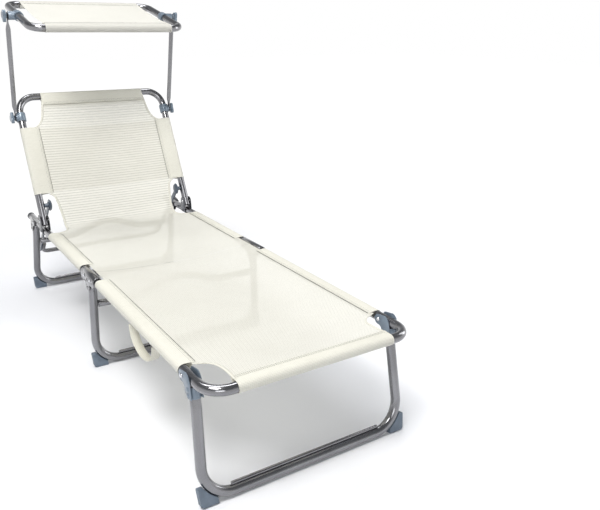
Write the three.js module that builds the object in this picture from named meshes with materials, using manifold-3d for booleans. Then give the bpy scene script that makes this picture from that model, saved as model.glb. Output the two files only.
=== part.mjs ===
import * as THREE from 'three';
import { mergeVertices } from 'three/addons/utils/BufferGeometryUtils.js';
import Module from 'manifold-3d';

const wasm = await Module();
wasm.setup();

// A folding sun lounger on three U legs, with a canopy on the backrest.
// Millimetres: X runs across, Y from the foot end to the head end, Z up from the floor.
// While the pieces are laid out, Y is zero at the bottom bar of the foot leg.

// Tubes and cloth
const tubeRadius = 12.5;
const tubeSides = 16;
const clothThickness = 1.4;
const gap = 0.3;
const sleeveInner = tubeRadius + gap;
const sleeveOuter = sleeveInner + clothThickness;
const bendSteps = 6;
const curveSteps = 5;
const overrun = 40;

// Seat and foot rails
const railHalfWidth = 271.4;
const railHeight = 292.8;
const footBarY = -30.7;
const footBendRadius = 52;
const railEndY = 1494;
const plugLength = 5;
const plugRim = 0.8;
const plugFaceShare = 0.7;

// Legs
const legSplay = 8.6;
const legFootHalfWidth = railHalfWidth + legSplay;
const legBarHeight = 14.2;
const legBendRadius = 75;
const legSplayDrop = 52;
const legSplayBend = 150;
const footLegLean = THREE.MathUtils.degToRad(9.8);
const midLegY = 748;
const headLegY = 1493.4;
const headLegLean = THREE.MathUtils.degToRad(13.05);
const rodRadius = 4.5;
const rodWeld = 0.6;
const rodSides = 10;
const crossbarRadius = 11;
const crossbarDrop = 87.8;
const crossbarHeight = railHeight - crossbarDrop;
const crossbarFit = 0.7;
const midHump = 37;
const headHump = 45;
const humpHalfWidth = 155;
const humpSteps = 14;
const foldClearance = 0.5;
const legOffset = tubeRadius + sleeveOuter + foldClearance;

// Foot caps under the outer bends
const capReach = 46;
const capHalfThickness = 8.5;
const capCornerRadius = 30;

// Sheet metal fittings
const sheet = 1.6;
const cheekInner = tubeRadius + foldClearance;
const cheekOuter = cheekInner + sheet;
const rivetRadius = 3.4;
const rivetClearance = 0.12;
const rivetHeadRadius = 6.2;
const rivetHeadHeight = 2.4;
const rivetDomeShare = 0.62;
const fixedRivetShare = 0.6;
const rivetSides = 10;
const arcSteps = 4;
const rivetHole = boreRadius(rivetRadius, rivetClearance);

// Saddles over the middle fold
const saddleHalfLength = 60;
const saddleSkirt = 17;
const shieldHalfWidth = 17;
const shieldDrop = 40;
const saddleRivetDrops = [7, 31];
const skirtCornerShare = 0.5;
const shieldShoulderShare = 1.5;
const shieldSideShare = 0.7;
const shieldTipShare = 0.8;

// Leg brackets at the foot and the head
const legBracketEar = 13.5;
const legBracketHalfWidth = 15;
const legBracketLength = 46;
const legBracketRivets = [24, 38];
const earShoulderShare = 0.6;
const bracketToeShare = 0.75;
const bracketTipShare = 0.5;

// Backrest
const backAngle = THREE.MathUtils.degToRad(62.5);
const backFootY = 1269.3;
const backFootRise = 5.7;
const backFootZ = railHeight + backFootRise;
const backLength = 489.4;
const backBendRadius = 58;
const backTubeStart = 15;
const backPivot = 32;
const backEarRadius = 17;
const backBracketBaseHalf = 20;
const backBracketFootRise = 12;
const backBracketDepth = 14.5;

// Hoop that props the backrest on the crossbar of the head leg
const knobAlong = 86;
const knobStemRadius = 7.2;
const knobHeadRadius = 20.5;
const knobHeadThickness = 9.5;
const knobStemLength = 15.5;
const knobPinRadius = 5;
const knobPinDepth = 11;
const knobSides = 20;
const knobCapShares = [[0.98, 0.3], [0.8, 0.68], [0.42, 0.94]];
const armThickness = 3.7;
const armHalfWidth = 9;
const armEyeRadius = 12.5;
const armLength = 318;
const hoopOverhang = 24;
const hoopLength = armLength + hoopOverhang;
const hoopRadius = 8;
const hoopSides = 12;
const hoopBendRadius = 24;
const hoopLegLength = 62;
const notchDepth = 3.4;
const backPositionShares = [1, 0.67, 0.33, 0];
const notchSlack = 1.2;

// Canopy
const canopyInset = 14.2;
const canopyHalfWidth = railHalfWidth - canopyInset;
const canopyFrontAhead = 50.4;
const canopyFrontRise = 676.9;
const canopyFrontY = backFootY - canopyFrontAhead;
const canopyFrontZ = backFootZ + canopyFrontRise;
const canopyDepth = 338.3;
const canopyTilt = THREE.MathUtils.degToRad(12.24);
const canopyBendRadius = 42;
const canopySleeveGap = 1.2;
const canopySleeveHalf = canopyHalfWidth - canopyBendRadius - canopySleeveGap;
const canopySag = 9;
const strutStandoff = 19.6;
const strutX = railHalfWidth + strutStandoff;
const strutRadius = 8;
const strutFlatThickness = 4;
const strutFlatHalfWidth = 10.5;
const strutFlatLength = 34;
const strutTipShare = 0.9;
const strutEndShares = [0.5, 0.75, 1, 1.3];
const lowerClampFromTop = 74.4;
const strutLowerAlong = backLength - lowerClampFromTop;
const collarOuter = 16.5;
const collarHalfLength = 15;
const clampBossRadius = 14;
const wingRadius = 17.5;
const wingLobe = 4;
const wingLobes = 3;
const wingSides = 30;
const wingThickness = 9;
const wingHubRadius = 9;
const wingHubLength = 4;
const screwRadius = 3;
const screwInset = 3.5;
const screwReach = 9;

// Fabric outline
const clothRise = 6;
const sleeveFromFold = 74;
const seatSleeveStart = midLegY + sleeveFromFold;
const seatSleeveShort = 79.3;
const seatSleeveEnd = backFootY - seatSleeveShort;
const seatPanelShort = 19.3;
const seatPanelEnd = backFootY - seatPanelShort;
const footSleeveStart = 104;
const footSleeveEnd = midLegY - sleeveFromFold;
const frontSleeveGap = 10.4;
const frontSleeveHalf = railHalfWidth - footBendRadius - frontSleeveGap;
const foldGap = 8;
const cutoutDepth = 64.4;
const cutoutHalfWidth = railHalfWidth - cutoutDepth;
const footCutReach = 117;
const hingeCutShare = 0.6;
const backSleeveStart = 122;
const backSleeveFromTop = 117.4;
const backSleeveEnd = backLength - backSleeveFromTop;
const topSleeveGap = 23.4;
const backTopSleeveHalf = railHalfWidth - backBendRadius - topSleeveGap;
const backPanelStart = 4;
const seatSag = 12;
const sagSteps = 8;

// Carry strap under the left foot rail
const strapWidth = 24;
const strapThickness = 2;
const strapNearY = 254;
const strapFarY = 408;
const strapDrop = 62;
const strapSteps = 9;

const steel = { color: 0x77757a, roughness: 0.32, metalness: 0.75 };
const zinc = { color: 0x5e6c7e, roughness: 0.42, metalness: 0.6 };
const bright = { color: 0xb9bdc2, roughness: 0.25, metalness: 0.9 };
const plastic = { color: 0x4d5866, roughness: 0.55, metalness: 0 };
const cloth = { color: 0xe9e7dc, roughness: 0.85, metalness: 0 };

const lounger = new THREE.Group();

function addPiece(parent, name, shape, finish) {
  const geometry = shape.isBufferGeometry ? shape : toGeometry(shape);
  const mesh = new THREE.Mesh(geometry, new THREE.MeshStandardMaterial(finish));
  mesh.name = name;
  parent.add(mesh);
  return mesh;
}

function toSolid(geometry) {
  const bare = geometry.clone();
  bare.deleteAttribute('normal');
  bare.deleteAttribute('uv');
  const merged = mergeVertices(bare);
  const vertProperties = new Float32Array(merged.attributes.position.array);
  const triVerts = new Uint32Array(merged.index.array);
  return new wasm.Manifold(new wasm.Mesh({ numProp: 3, vertProperties, triVerts }));
}

function toGeometry(solid) {
  const found = solid.getMesh();
  const geometry = new THREE.BufferGeometry();
  geometry.setAttribute('position', new THREE.BufferAttribute(new Float32Array(found.vertProperties), 3));
  geometry.setIndex(new THREE.BufferAttribute(new Uint32Array(found.triVerts), 1));
  geometry.computeVertexNormals();
  return geometry;
}

function joined(solids) {
  return solids.reduce((whole, solid) => whole.add(solid));
}

// A path given by its stations, so that rings are spent on the bends only
class StationPath extends THREE.Curve {
  constructor(stations) {
    super();
    this.stations = stations;
  }

  station(share) {
    return this.stations[Math.round(share * (this.stations.length - 1))];
  }

  getPointAt(share) {
    return this.station(share).point.clone();
  }

  getTangentAt(share) {
    return this.station(share).tangent.clone();
  }
}

function at(x, y, z) {
  return new THREE.Vector3(x, y, z);
}

function towards(from, to) {
  return to.clone().sub(from).normalize();
}

function bendStations(before, corner, after, bendRadius) {
  const into = towards(before, corner);
  const out = towards(corner, after);
  const turn = into.angleTo(out);
  const axis = into.clone().cross(out).normalize();
  const start = corner.clone().addScaledVector(into, -bendRadius * Math.tan(turn / 2));
  const centre = start.clone().addScaledVector(axis.clone().cross(into), bendRadius);
  const steps = Math.max(2, Math.round(bendSteps * turn / (Math.PI / 2)));
  return Array.from({ length: steps + 1 }, (_, step) => {
    const angle = turn * step / steps;
    const point = start.clone().sub(centre).applyAxisAngle(axis, angle).add(centre);
    return { point, tangent: into.clone().applyAxisAngle(axis, angle) };
  });
}

function bentRoute(corners, bendRadii) {
  const last = corners.length - 1;
  const stations = [{ point: corners[0], tangent: towards(corners[0], corners[1]) }];
  for (let index = 1; index < last; index += 1) {
    stations.push(...bendStations(corners[index - 1], corners[index], corners[index + 1], bendRadii[index - 1]));
  }
  stations.push({ point: corners[last], tangent: towards(corners[last - 1], corners[last]) });
  return stations;
}

function ringPoints(radius, sides) {
  return Array.from({ length: sides }, (_, side) => {
    const angle = 2 * Math.PI * side / sides;
    return new THREE.Vector2(radius * Math.cos(angle), radius * Math.sin(angle));
  });
}

function disc(radius, sides) {
  return new THREE.Shape(ringPoints(radius, sides));
}

function ring(inner, outer, sides) {
  const shape = disc(outer, sides);
  shape.holes.push(new THREE.Path(ringPoints(inner, sides)));
  return shape;
}

function swept(stations, section) {
  const steps = stations.length - 1;
  return new THREE.ExtrudeGeometry(section, { steps, extrudePath: new StationPath(stations) });
}

function straight(from, to) {
  const tangent = towards(from, to);
  return [{ point: from, tangent }, { point: to, tangent }];
}

function barBetween(from, to, radius, sides = tubeSides) {
  return swept(straight(from, to), disc(radius, sides));
}

function sleeveBetween(from, to) {
  return toSolid(swept(straight(from, to), ring(sleeveInner, sleeveOuter, tubeSides)));
}

// A flat shape drawn with Y and Z as its two axes, made thick across X
function plateAcross(shape, xLow, xHigh) {
  const geometry = new THREE.ExtrudeGeometry(shape, {
    depth: xHigh - xLow, bevelEnabled: false, curveSegments: arcSteps,
  });
  const toYZ = new THREE.Matrix4().makeBasis(at(0, 1, 0), at(0, 0, 1), at(1, 0, 0));
  geometry.applyMatrix4(toYZ);
  geometry.translate(xLow, 0, 0);
  return toSolid(geometry);
}

// A flat shape drawn with X and Y, made thick along Z
function plateFlat(shape, zLow, thickness) {
  const geometry = new THREE.ExtrudeGeometry(shape, { depth: thickness, bevelEnabled: false, curveSegments: arcSteps });
  geometry.translate(0, 0, zLow);
  return geometry;
}

// A revolved profile of radius and place pairs, turned so that its axis runs along X
function turnedAcross(profile, sides) {
  const geometry = new THREE.LatheGeometry(profile.map(([r, x]) => new THREE.Vector2(r, x)), sides);
  geometry.rotateZ(-Math.PI / 2);
  return geometry;
}

function pinAcross(x, y, z, halfLength, radius) {
  return toSolid(barBetween(at(x - halfLength, y, z), at(x + halfLength, y, z), radius, rivetSides));
}

function rivet(reach) {
  const domeStart = rivetHeadRadius * rivetDomeShare;
  const profile = [
    [0, -reach - rivetHeadHeight],
    [domeStart, -reach - rivetHeadHeight],
    [rivetHeadRadius, -reach],
    [rivetRadius, -reach],
    [rivetRadius, reach],
    [rivetHeadRadius, reach],
    [domeStart, reach + rivetHeadHeight],
    [0, reach + rivetHeadHeight],
  ];
  return turnedAcross(profile, rivetSides);
}

function addRivet(parent, name, x, y, z) {
  const piece = addPiece(parent, name, rivet(cheekOuter + gap), bright);
  piece.position.set(x, y, z);
}

// The corners of a bore lie further out than its flats, which must clear what turns in it
function boreRadius(pinRadius, clearance) {
  return (pinRadius + clearance) / Math.cos(Math.PI / rivetSides);
}

// Both sides at once, with the side named and the sign of its X
const sides = [['left', -1], ['right', 1]];

// The rails end in round noses at the fold, so that they can turn under the roof of the saddle
function railNose(x, pivotY) {
  const geometry = new THREE.SphereGeometry(tubeRadius, tubeSides, tubeSides / 2);
  geometry.rotateZ(Math.PI / 2);
  geometry.translate(x, pivotY, railHeight);
  return toSolid(geometry);
}

// Where a leaning leg has its bottom bar when its foot caps just touch the floor
function barHeight(lean) {
  return legBarHeight * Math.cos(lean) + capHalfThickness * Math.sin(lean);
}

const screwHoleRadius = boreRadius(screwRadius, rivetClearance);
const seatPivotY = midLegY + legOffset;
const footPivotY = midLegY - legOffset;
const footLegPivotY = (railHeight - barHeight(footLegLean)) * Math.tan(footLegLean)
  + legOffset / Math.cos(footLegLean);
const headLegPivotY = headLegY - (railHeight - barHeight(headLegLean)) * Math.tan(headLegLean)
  - legOffset / Math.cos(headLegLean);
const backPivotY = backFootY + backPivot * Math.cos(backAngle);
const backPivotZ = backFootZ + backPivot * Math.sin(backAngle);

function seatRail(sign) {
  const x = sign * railHalfWidth;
  const tube = toSolid(barBetween(at(x, seatPivotY, railHeight), at(x, railEndY, railHeight), tubeRadius));
  const holes = [
    pinAcross(x, seatPivotY, railHeight, cheekOuter, rivetHole),
    pinAcross(x, headLegPivotY, railHeight, cheekOuter, rivetHole),
  ];
  return tube.add(railNose(x, seatPivotY)).subtract(joined(holes));
}

function footFrame() {
  const x = railHalfWidth;
  const corners = [
    at(-x, footPivotY, railHeight),
    at(-x, footBarY, railHeight),
    at(x, footBarY, railHeight),
    at(x, footPivotY, railHeight),
  ];
  const tube = toSolid(swept(bentRoute(corners, [footBendRadius, footBendRadius]), disc(tubeRadius, tubeSides)));
  const holes = sides.flatMap(([, sign]) => [
    pinAcross(sign * x, footPivotY, railHeight, cheekOuter, rivetHole),
    pinAcross(sign * x, footLegPivotY, railHeight, cheekOuter, rivetHole),
  ]);
  const noses = sides.map(([, sign]) => railNose(sign * x, footPivotY));
  return joined([tube, ...noses]).subtract(joined(holes));
}

function railPlug() {
  const rim = tubeRadius + plugRim;
  const face = tubeRadius * plugFaceShare;
  const profile = [[0, 0], [rim, 0], [rim, plugLength / 2], [face, plugLength], [0, plugLength]];
  return new THREE.LatheGeometry(profile.map(([r, y]) => new THREE.Vector2(r, y)), tubeSides);
}

// A U leg is drawn upright with its bottom bar at zero height; topHeight is where its tubes end
function legTube(topHeight, radius) {
  const splayHeight = topHeight - legSplayDrop;
  const corners = [
    at(-railHalfWidth, 0, topHeight),
    at(-railHalfWidth, 0, splayHeight),
    at(-legFootHalfWidth, 0, 0),
    at(legFootHalfWidth, 0, 0),
    at(railHalfWidth, 0, splayHeight),
    at(railHalfWidth, 0, topHeight),
  ];
  const radii = [legSplayBend, legBendRadius, legBendRadius, legSplayBend];
  return toSolid(swept(bentRoute(corners, radii), disc(radius, tubeSides)));
}

function legFrame(topHeight) {
  return legTube(topHeight, tubeRadius).add(legRod());
}

function legHalfWidthAt(height, topHeight) {
  const splayHeight = topHeight - legSplayDrop;
  return THREE.MathUtils.lerp(legFootHalfWidth, railHalfWidth, height / splayHeight);
}

// A thin rod welded along the top of the bottom bar, from bend to bend
function legRod() {
  const height = tubeRadius + rodRadius - rodWeld;
  const half = legFootHalfWidth - legBendRadius + rodRadius;
  return toSolid(barBetween(at(-half, 0, height), at(half, 0, height), rodRadius, rodSides));
}

// The crossbar runs level from each leg tube and rises in a smooth hump in the middle
function crossbar(height, hump, topHeight) {
  const half = legHalfWidthAt(height, topHeight) - tubeRadius - crossbarFit;
  const stations = [{ point: at(-half, 0, height), tangent: at(1, 0, 0) }];
  for (let step = 0; step <= humpSteps; step += 1) {
    const share = 2 * step / humpSteps - 1;
    const rise = hump * (1 + Math.cos(Math.PI * share)) / 2;
    const slope = -hump * Math.PI / humpHalfWidth * Math.sin(Math.PI * share) / 2;
    stations.push({ point: at(share * humpHalfWidth, 0, height + rise), tangent: at(1, 0, slope).normalize() });
  }
  stations.push({ point: at(half, 0, height), tangent: at(1, 0, 0) });
  return swept(stations, disc(crossbarRadius, hoopSides));
}

// A wedge that fills the outer bend of a leg down to the floor, hollowed to cradle the tube
function footCap(sign, topHeight) {
  const bendX = legFootHalfWidth - legBendRadius;
  const outerX = legFootHalfWidth + tubeRadius;
  const floor = -legBarHeight;
  const topZ = floor + capReach;
  const startX = outerX - capReach;
  const low = Math.asin((startX - bendX) / legBendRadius);
  const high = Math.acos((legBendRadius - topZ) / legBendRadius);
  const outline = new THREE.Shape();
  outline.moveTo(startX, floor);
  outline.lineTo(outerX - capCornerRadius, floor);
  outline.absarc(outerX - capCornerRadius, floor + capCornerRadius, capCornerRadius, -Math.PI / 2, 0, false);
  outline.lineTo(outerX, topZ);
  outline.absarc(bendX, legBendRadius, legBendRadius, high - Math.PI / 2, low - Math.PI / 2, true);
  const geometry = new THREE.ExtrudeGeometry(outline, {
    depth: 2 * capHalfThickness, bevelEnabled: false, curveSegments: arcSteps,
  });
  geometry.rotateX(Math.PI / 2);
  geometry.translate(0, capHalfThickness, 0);
  const solid = toSolid(geometry).subtract(legTube(topHeight, sleeveInner));
  return sign > 0 ? solid : solid.mirror([1, 0, 0]);
}

// An inverted U channel with a half round roof, drawn over a rail that runs along Y at zero
function roofChannel(halfLength, drop) {
  const outline = new THREE.Shape();
  outline.moveTo(cheekOuter, -drop);
  outline.lineTo(cheekOuter, 0);
  outline.absarc(0, 0, cheekOuter, 0, Math.PI, false);
  outline.lineTo(-cheekOuter, -drop);
  outline.lineTo(-cheekInner, -drop);
  outline.absarc(0, 0, cheekInner, Math.PI, 0, true);
  outline.lineTo(cheekInner, -drop);
  const geometry = new THREE.ExtrudeGeometry(outline, {
    depth: 2 * halfLength, bevelEnabled: false, curveSegments: arcSteps,
  });
  geometry.rotateX(Math.PI / 2);
  geometry.translate(0, halfLength, 0);
  return toSolid(geometry);
}

function rivetHeads(places) {
  return places.flatMap(([y, z]) => sides.map(([, sign]) => {
    const head = new THREE.CylinderGeometry(rivetHeadRadius * fixedRivetShare, rivetHeadRadius, rivetHeadHeight, rivetSides);
    head.rotateZ(-sign * Math.PI / 2);
    head.translate(sign * (cheekOuter + rivetHeadHeight / 2 - gap), y, z);
    return toSolid(head);
  }));
}

function saddle() {
  const outline = new THREE.Shape();
  const top = cheekOuter + gap;
  outline.moveTo(-saddleHalfLength, top);
  outline.lineTo(-saddleHalfLength, -saddleSkirt * skirtCornerShare);
  outline.quadraticCurveTo(-saddleHalfLength, -saddleSkirt, -saddleHalfLength + saddleSkirt, -saddleSkirt);
  outline.lineTo(-shieldHalfWidth * shieldShoulderShare, -saddleSkirt);
  outline.quadraticCurveTo(-shieldHalfWidth, -saddleSkirt, -shieldHalfWidth, -shieldDrop * shieldSideShare);
  outline.quadraticCurveTo(-shieldHalfWidth * shieldTipShare, -shieldDrop, 0, -shieldDrop);
  outline.quadraticCurveTo(shieldHalfWidth * shieldTipShare, -shieldDrop, shieldHalfWidth, -shieldDrop * shieldSideShare);
  outline.quadraticCurveTo(shieldHalfWidth, -saddleSkirt, shieldHalfWidth * shieldShoulderShare, -saddleSkirt);
  outline.lineTo(saddleHalfLength - saddleSkirt, -saddleSkirt);
  outline.quadraticCurveTo(saddleHalfLength, -saddleSkirt, saddleHalfLength, -saddleSkirt * skirtCornerShare);
  outline.lineTo(saddleHalfLength, top);
  const trimmed = roofChannel(saddleHalfLength, shieldDrop).intersect(plateAcross(outline, -overrun, overrun));
  const holes = [-legOffset, legOffset].map((y) => pinAcross(0, y, 0, overrun, rivetHole));
  const heads = rivetHeads(saddleRivetDrops.map((drop) => [0, -drop]));
  return joined([trimmed, ...heads]).subtract(joined(holes));
}

// A clevis on the top of a leg: two cheeks that straddle the rail and a wrap around the leg tube.
// It is drawn with the leg tube along Z at zero; towardPivot is the side of the rail pivot.
function legBracket(towardPivot, topDrop) {
  const outline = new THREE.Shape();
  const side = -towardPivot;
  outline.moveTo(side * legBracketHalfWidth, -legBracketLength);
  outline.lineTo(side * legBracketHalfWidth, -cheekOuter);
  outline.quadraticCurveTo(side * legBracketHalfWidth, legBracketEar * earShoulderShare, side * gap, legBracketEar);
  outline.lineTo(towardPivot * legOffset, legBracketEar);
  outline.absarc(towardPivot * legOffset, 0, legBracketEar, Math.PI / 2, -Math.PI / 2, towardPivot > 0);
  outline.quadraticCurveTo(towardPivot * legBracketHalfWidth, -cheekOuter, towardPivot * legBracketHalfWidth,
    -legBracketLength * bracketToeShare);
  outline.lineTo(towardPivot * tubeRadius * bracketTipShare, -legBracketLength);
  const cheeks = sides.map(([, sign]) => {
    const low = sign > 0 ? cheekInner : -cheekOuter;
    return plateAcross(outline, low, low + sheet);
  });
  const wrap = new THREE.Shape();
  wrap.absarc(0, 0, cheekOuter, 0, Math.PI, false);
  wrap.absarc(0, 0, cheekInner, Math.PI, 0, true);
  const wrapLength = legBracketLength - topDrop - gap;
  const web = new THREE.ExtrudeGeometry(wrap, { depth: wrapLength, bevelEnabled: false, curveSegments: arcSteps });
  if (side < 0) {
    web.rotateZ(Math.PI);
  }
  web.translate(0, 0, -legBracketLength);
  const heads = rivetHeads(legBracketRivets.map((drop) => [0, -drop]));
  const hole = pinAcross(0, towardPivot * legOffset, 0, overrun, rivetHole);
  return joined([...cheeks, toSolid(web), ...heads]).subtract(hole);
}

// The tops of the end legs stop just under the rail, which is what holds them open
function legTopDrop(lean) {
  return legOffset * Math.tan(lean) + tubeRadius / Math.cos(lean) + tubeRadius * Math.tan(lean) + gap;
}

function pivotAlong(lean) {
  return (railHeight - barHeight(lean)) / Math.cos(lean) + legOffset * Math.tan(lean);
}

function addLeg(name, y, turn, topHeight) {
  const leg = new THREE.Group();
  leg.position.set(0, y, barHeight(Math.abs(turn)));
  leg.rotation.x = turn;
  lounger.add(leg);
  addPiece(leg, `${name}_leg_frame`, legFrame(topHeight), steel);
  for (const [side, sign] of sides) {
    addPiece(leg, `${name}_leg_cap_${side}`, footCap(sign, topHeight), plastic);
  }
  return leg;
}

function addEndLeg(name, y, lean, towardPivot) {
  const along = pivotAlong(lean);
  const topHeight = along - legTopDrop(lean);
  const leg = addLeg(name, y, -towardPivot * lean, topHeight);
  for (const [side, sign] of sides) {
    const bracket = addPiece(leg, `${name}_leg_bracket_${side}`, legBracket(towardPivot, legTopDrop(lean)), zinc);
    bracket.position.set(sign * railHalfWidth, 0, along);
    addRivet(lounger, `${name}_leg_pivot_${side}`, sign * railHalfWidth,
      name === 'foot' ? footLegPivotY : headLegPivotY, railHeight);
  }
  return { leg, topHeight };
}

function addLegs() {
  addEndLeg('foot', 0, footLegLean, 1);
  const head = addEndLeg('head', headLegY, headLegLean, -1);
  addPiece(head.leg, 'head_leg_crossbar', crossbar(headCrossbarAlong, headHump, head.topHeight), steel);
  const midTop = railHeight - legBarHeight - gap;
  const mid = addLeg('mid', midLegY, 0, midTop);
  addPiece(mid, 'mid_leg_crossbar', crossbar(crossbarHeight - legBarHeight, midHump, midTop), steel);
  for (const [side, sign] of sides) {
    const x = sign * railHalfWidth;
    const piece = addPiece(lounger, `saddle_${side}`, saddle(), zinc);
    piece.position.set(x, midLegY, railHeight);
    addRivet(lounger, `seat_fold_pivot_${side}`, x, seatPivotY, railHeight);
    addRivet(lounger, `foot_fold_pivot_${side}`, x, footPivotY, railHeight);
  }
}

const headCrossbarAlong = (crossbarHeight - barHeight(headLegLean)) / Math.cos(headLegLean);

function addRails() {
  addPiece(lounger, 'foot_frame', footFrame(), steel);
  for (const [side, sign] of sides) {
    addPiece(lounger, `seat_rail_${side}`, seatRail(sign), steel);
    const plug = addPiece(lounger, `rail_plug_${side}`, railPlug(), plastic);
    plug.position.set(sign * railHalfWidth, railEndY + gap, railHeight);
    const bracket = addPiece(lounger, `back_bracket_${side}`, backBracket(), zinc);
    bracket.position.set(sign * railHalfWidth, backPivotY, railHeight);
    addRivet(lounger, `back_pivot_${side}`, sign * railHalfWidth, backPivotY, backPivotZ);
  }
}

// Two cheeks on a cradle under the rail; the backrest tube turns between their upper ends
function backBracket() {
  const rise = backPivotZ - railHeight;
  const base = backBracketBaseHalf;
  const cradle = roofChannel(base, rise + backEarRadius).rotate([0, 180, 0]);
  const outline = new THREE.Shape();
  outline.moveTo(-base, -backBracketDepth - gap);
  outline.lineTo(-base, 0);
  outline.quadraticCurveTo(-base, backBracketFootRise, -backEarRadius, rise);
  outline.absarc(0, rise, backEarRadius, Math.PI, 0, true);
  outline.quadraticCurveTo(base, backBracketFootRise, base, 0);
  outline.lineTo(base, -backBracketDepth - gap);
  const trimmed = cradle.intersect(plateAcross(outline, -overrun, overrun));
  const heads = rivetHeads([[0, 0]]);
  return joined([trimmed, ...heads]).subtract(pinAcross(0, 0, rise, overrun, rivetHole));
}

const backrest = new THREE.Group();
backrest.position.set(0, backFootY, backFootZ);
backrest.rotation.x = backAngle;
lounger.add(backrest);

function backFrame() {
  const x = railHalfWidth;
  const corners = [at(-x, backTubeStart, 0), at(-x, backLength, 0), at(x, backLength, 0), at(x, backTubeStart, 0)];
  const tube = toSolid(swept(bentRoute(corners, [backBendRadius, backBendRadius]), disc(tubeRadius, tubeSides)));
  const holes = sides.flatMap(([, sign]) => [
    pinAcross(sign * x, backPivot, 0, cheekOuter, rivetHole),
    pinAcross(sign * (x - tubeRadius), knobAlong, 0, knobPinDepth + gap,
      boreRadius(knobPinRadius, rivetClearance)),
  ]);
  return tube.subtract(joined(holes));
}

// A mushroom stud on the inside of the backrest tube; the hoop arm hangs on its stem
function knob(sign) {
  const head = knobStemLength;
  const profile = [
    [0, -knobPinDepth],
    [knobPinRadius, -knobPinDepth],
    [knobPinRadius, gap],
    [knobStemRadius, gap],
    [knobStemRadius, head],
    [knobHeadRadius, head],
    ...knobCapShares.map(([wide, deep]) => [knobHeadRadius * wide, head + knobHeadThickness * deep]),
    [0, head + knobHeadThickness],
  ];
  const geometry = turnedAcross(profile, knobSides);
  if (sign > 0) {
    geometry.rotateZ(Math.PI);
  }
  return geometry;
}

function collar(tubeX, sign) {
  const body = toSolid(barBetween(at(sign * tubeX, -collarHalfLength, 0), at(sign * tubeX, collarHalfLength, 0),
    collarOuter));
  const bossEnd = strutX - strutFlatThickness / 2 - gap;
  const boss = toSolid(barBetween(at(sign * tubeX, 0, 0), at(sign * bossEnd, 0, 0), clampBossRadius));
  const bore = toSolid(barBetween(at(sign * tubeX, -overrun, 0), at(sign * tubeX, overrun, 0), sleeveInner));
  const screwHole = pinAcross(sign * bossEnd, 0, 0, screwInset + gap, screwHoleRadius);
  return joined([body, boss]).subtract(joined([bore, screwHole]));
}

function wingOutline() {
  const points = Array.from({ length: wingSides }, (_, index) => {
    const angle = 2 * Math.PI * index / wingSides;
    const reach = wingRadius + wingLobe * Math.cos(wingLobes * angle);
    return new THREE.Vector2(reach * Math.cos(angle), reach * Math.sin(angle));
  });
  return new THREE.Shape(points);
}

// A three lobed grip on a hub; its screw, where it has one, runs through the strut into the clamp
function wingKnob(sign, withScrew) {
  const start = strutX + strutFlatThickness / 2 + gap;
  const grip = plateAcross(wingOutline(), start + wingHubLength, start + wingHubLength + wingThickness);
  const hub = toSolid(barBetween(at(start, 0, 0), at(start + wingHubLength + gap, 0, 0), wingHubRadius));
  const inner = strutX - strutFlatThickness / 2 - screwInset;
  const screw = toSolid(barBetween(at(inner, 0, 0), at(start + gap, 0, 0), screwRadius, rivetSides));
  const nutHole = toSolid(barBetween(at(start - overrun, 0, 0), at(start + screwReach + gap, 0, 0),
    screwHoleRadius, rivetSides));
  const whole = withScrew ? joined([grip, hub, screw]) : grip.add(hub).subtract(nutHole);
  return sign > 0 ? whole : whole.mirror([1, 0, 0]);
}

function lowerScrew(sign) {
  const inner = strutX - strutFlatThickness / 2 - screwInset;
  const outer = strutX + strutFlatThickness / 2 + screwReach;
  return barBetween(at(sign * inner, 0, 0), at(sign * outer, 0, 0), screwRadius, rivetSides);
}

function addBackrest() {
  addPiece(backrest, 'backrest_frame', backFrame(), steel);
  addPiece(backrest, 'backrest_fabric', backCloth(), cloth);
  for (const [side, sign] of sides) {
    const stud = addPiece(backrest, `hoop_knob_${side}`, knob(sign), zinc);
    stud.position.set(sign * (railHalfWidth - tubeRadius), knobAlong, 0);
    const clamp = addPiece(backrest, `lower_clamp_${side}`, collar(railHalfWidth, sign), plastic);
    clamp.position.set(0, strutLowerAlong, 0);
  }
}

// The hoop leans on the crossbar of the head leg, so its angle follows from the two places
const crossbarY = headLegY - headCrossbarAlong * Math.sin(headLegLean);
const knobReach = knobAlong - backPivot;
const propOffset = armHalfWidth + crossbarRadius - notchDepth + gap;

function hoopPlace(share) {
  const angle = backAngle * share;
  const y = backPivotY + knobReach * Math.cos(angle);
  const z = backPivotZ + knobReach * Math.sin(angle);
  const distance = Math.hypot(crossbarY - y, crossbarHeight - z);
  const turn = Math.atan2(crossbarHeight - z, crossbarY - y) + Math.asin(propOffset / distance);
  return { y, z, turn, along: Math.sqrt(distance * distance - propOffset * propOffset) };
}

function hoopArm(sign) {
  const outline = new THREE.Shape();
  outline.moveTo(armLength, -armHalfWidth);
  outline.absarc(armLength, 0, armHalfWidth, -Math.PI / 2, Math.PI / 2, false);
  outline.lineTo(armEyeRadius, armHalfWidth);
  outline.absarc(0, 0, armEyeRadius, Math.PI / 4, 2 * Math.PI - Math.PI / 4, false);
  outline.lineTo(armEyeRadius, -armHalfWidth);
  const outer = railHalfWidth - tubeRadius - knobStemLength + armThickness + gap;
  const plate = plateAcross(outline, outer - armThickness, outer);
  const eye = pinAcross(outer, 0, 0, overrun, boreRadius(knobStemRadius, gap));
  const notches = backPositionShares.map((share) => (
    pinAcross(outer, hoopPlace(share).along, -propOffset, overrun, crossbarRadius + notchSlack)
  ));
  const whole = plate.subtract(joined([eye, ...notches]));
  return sign > 0 ? whole : whole.mirror([1, 0, 0]);
}

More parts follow.
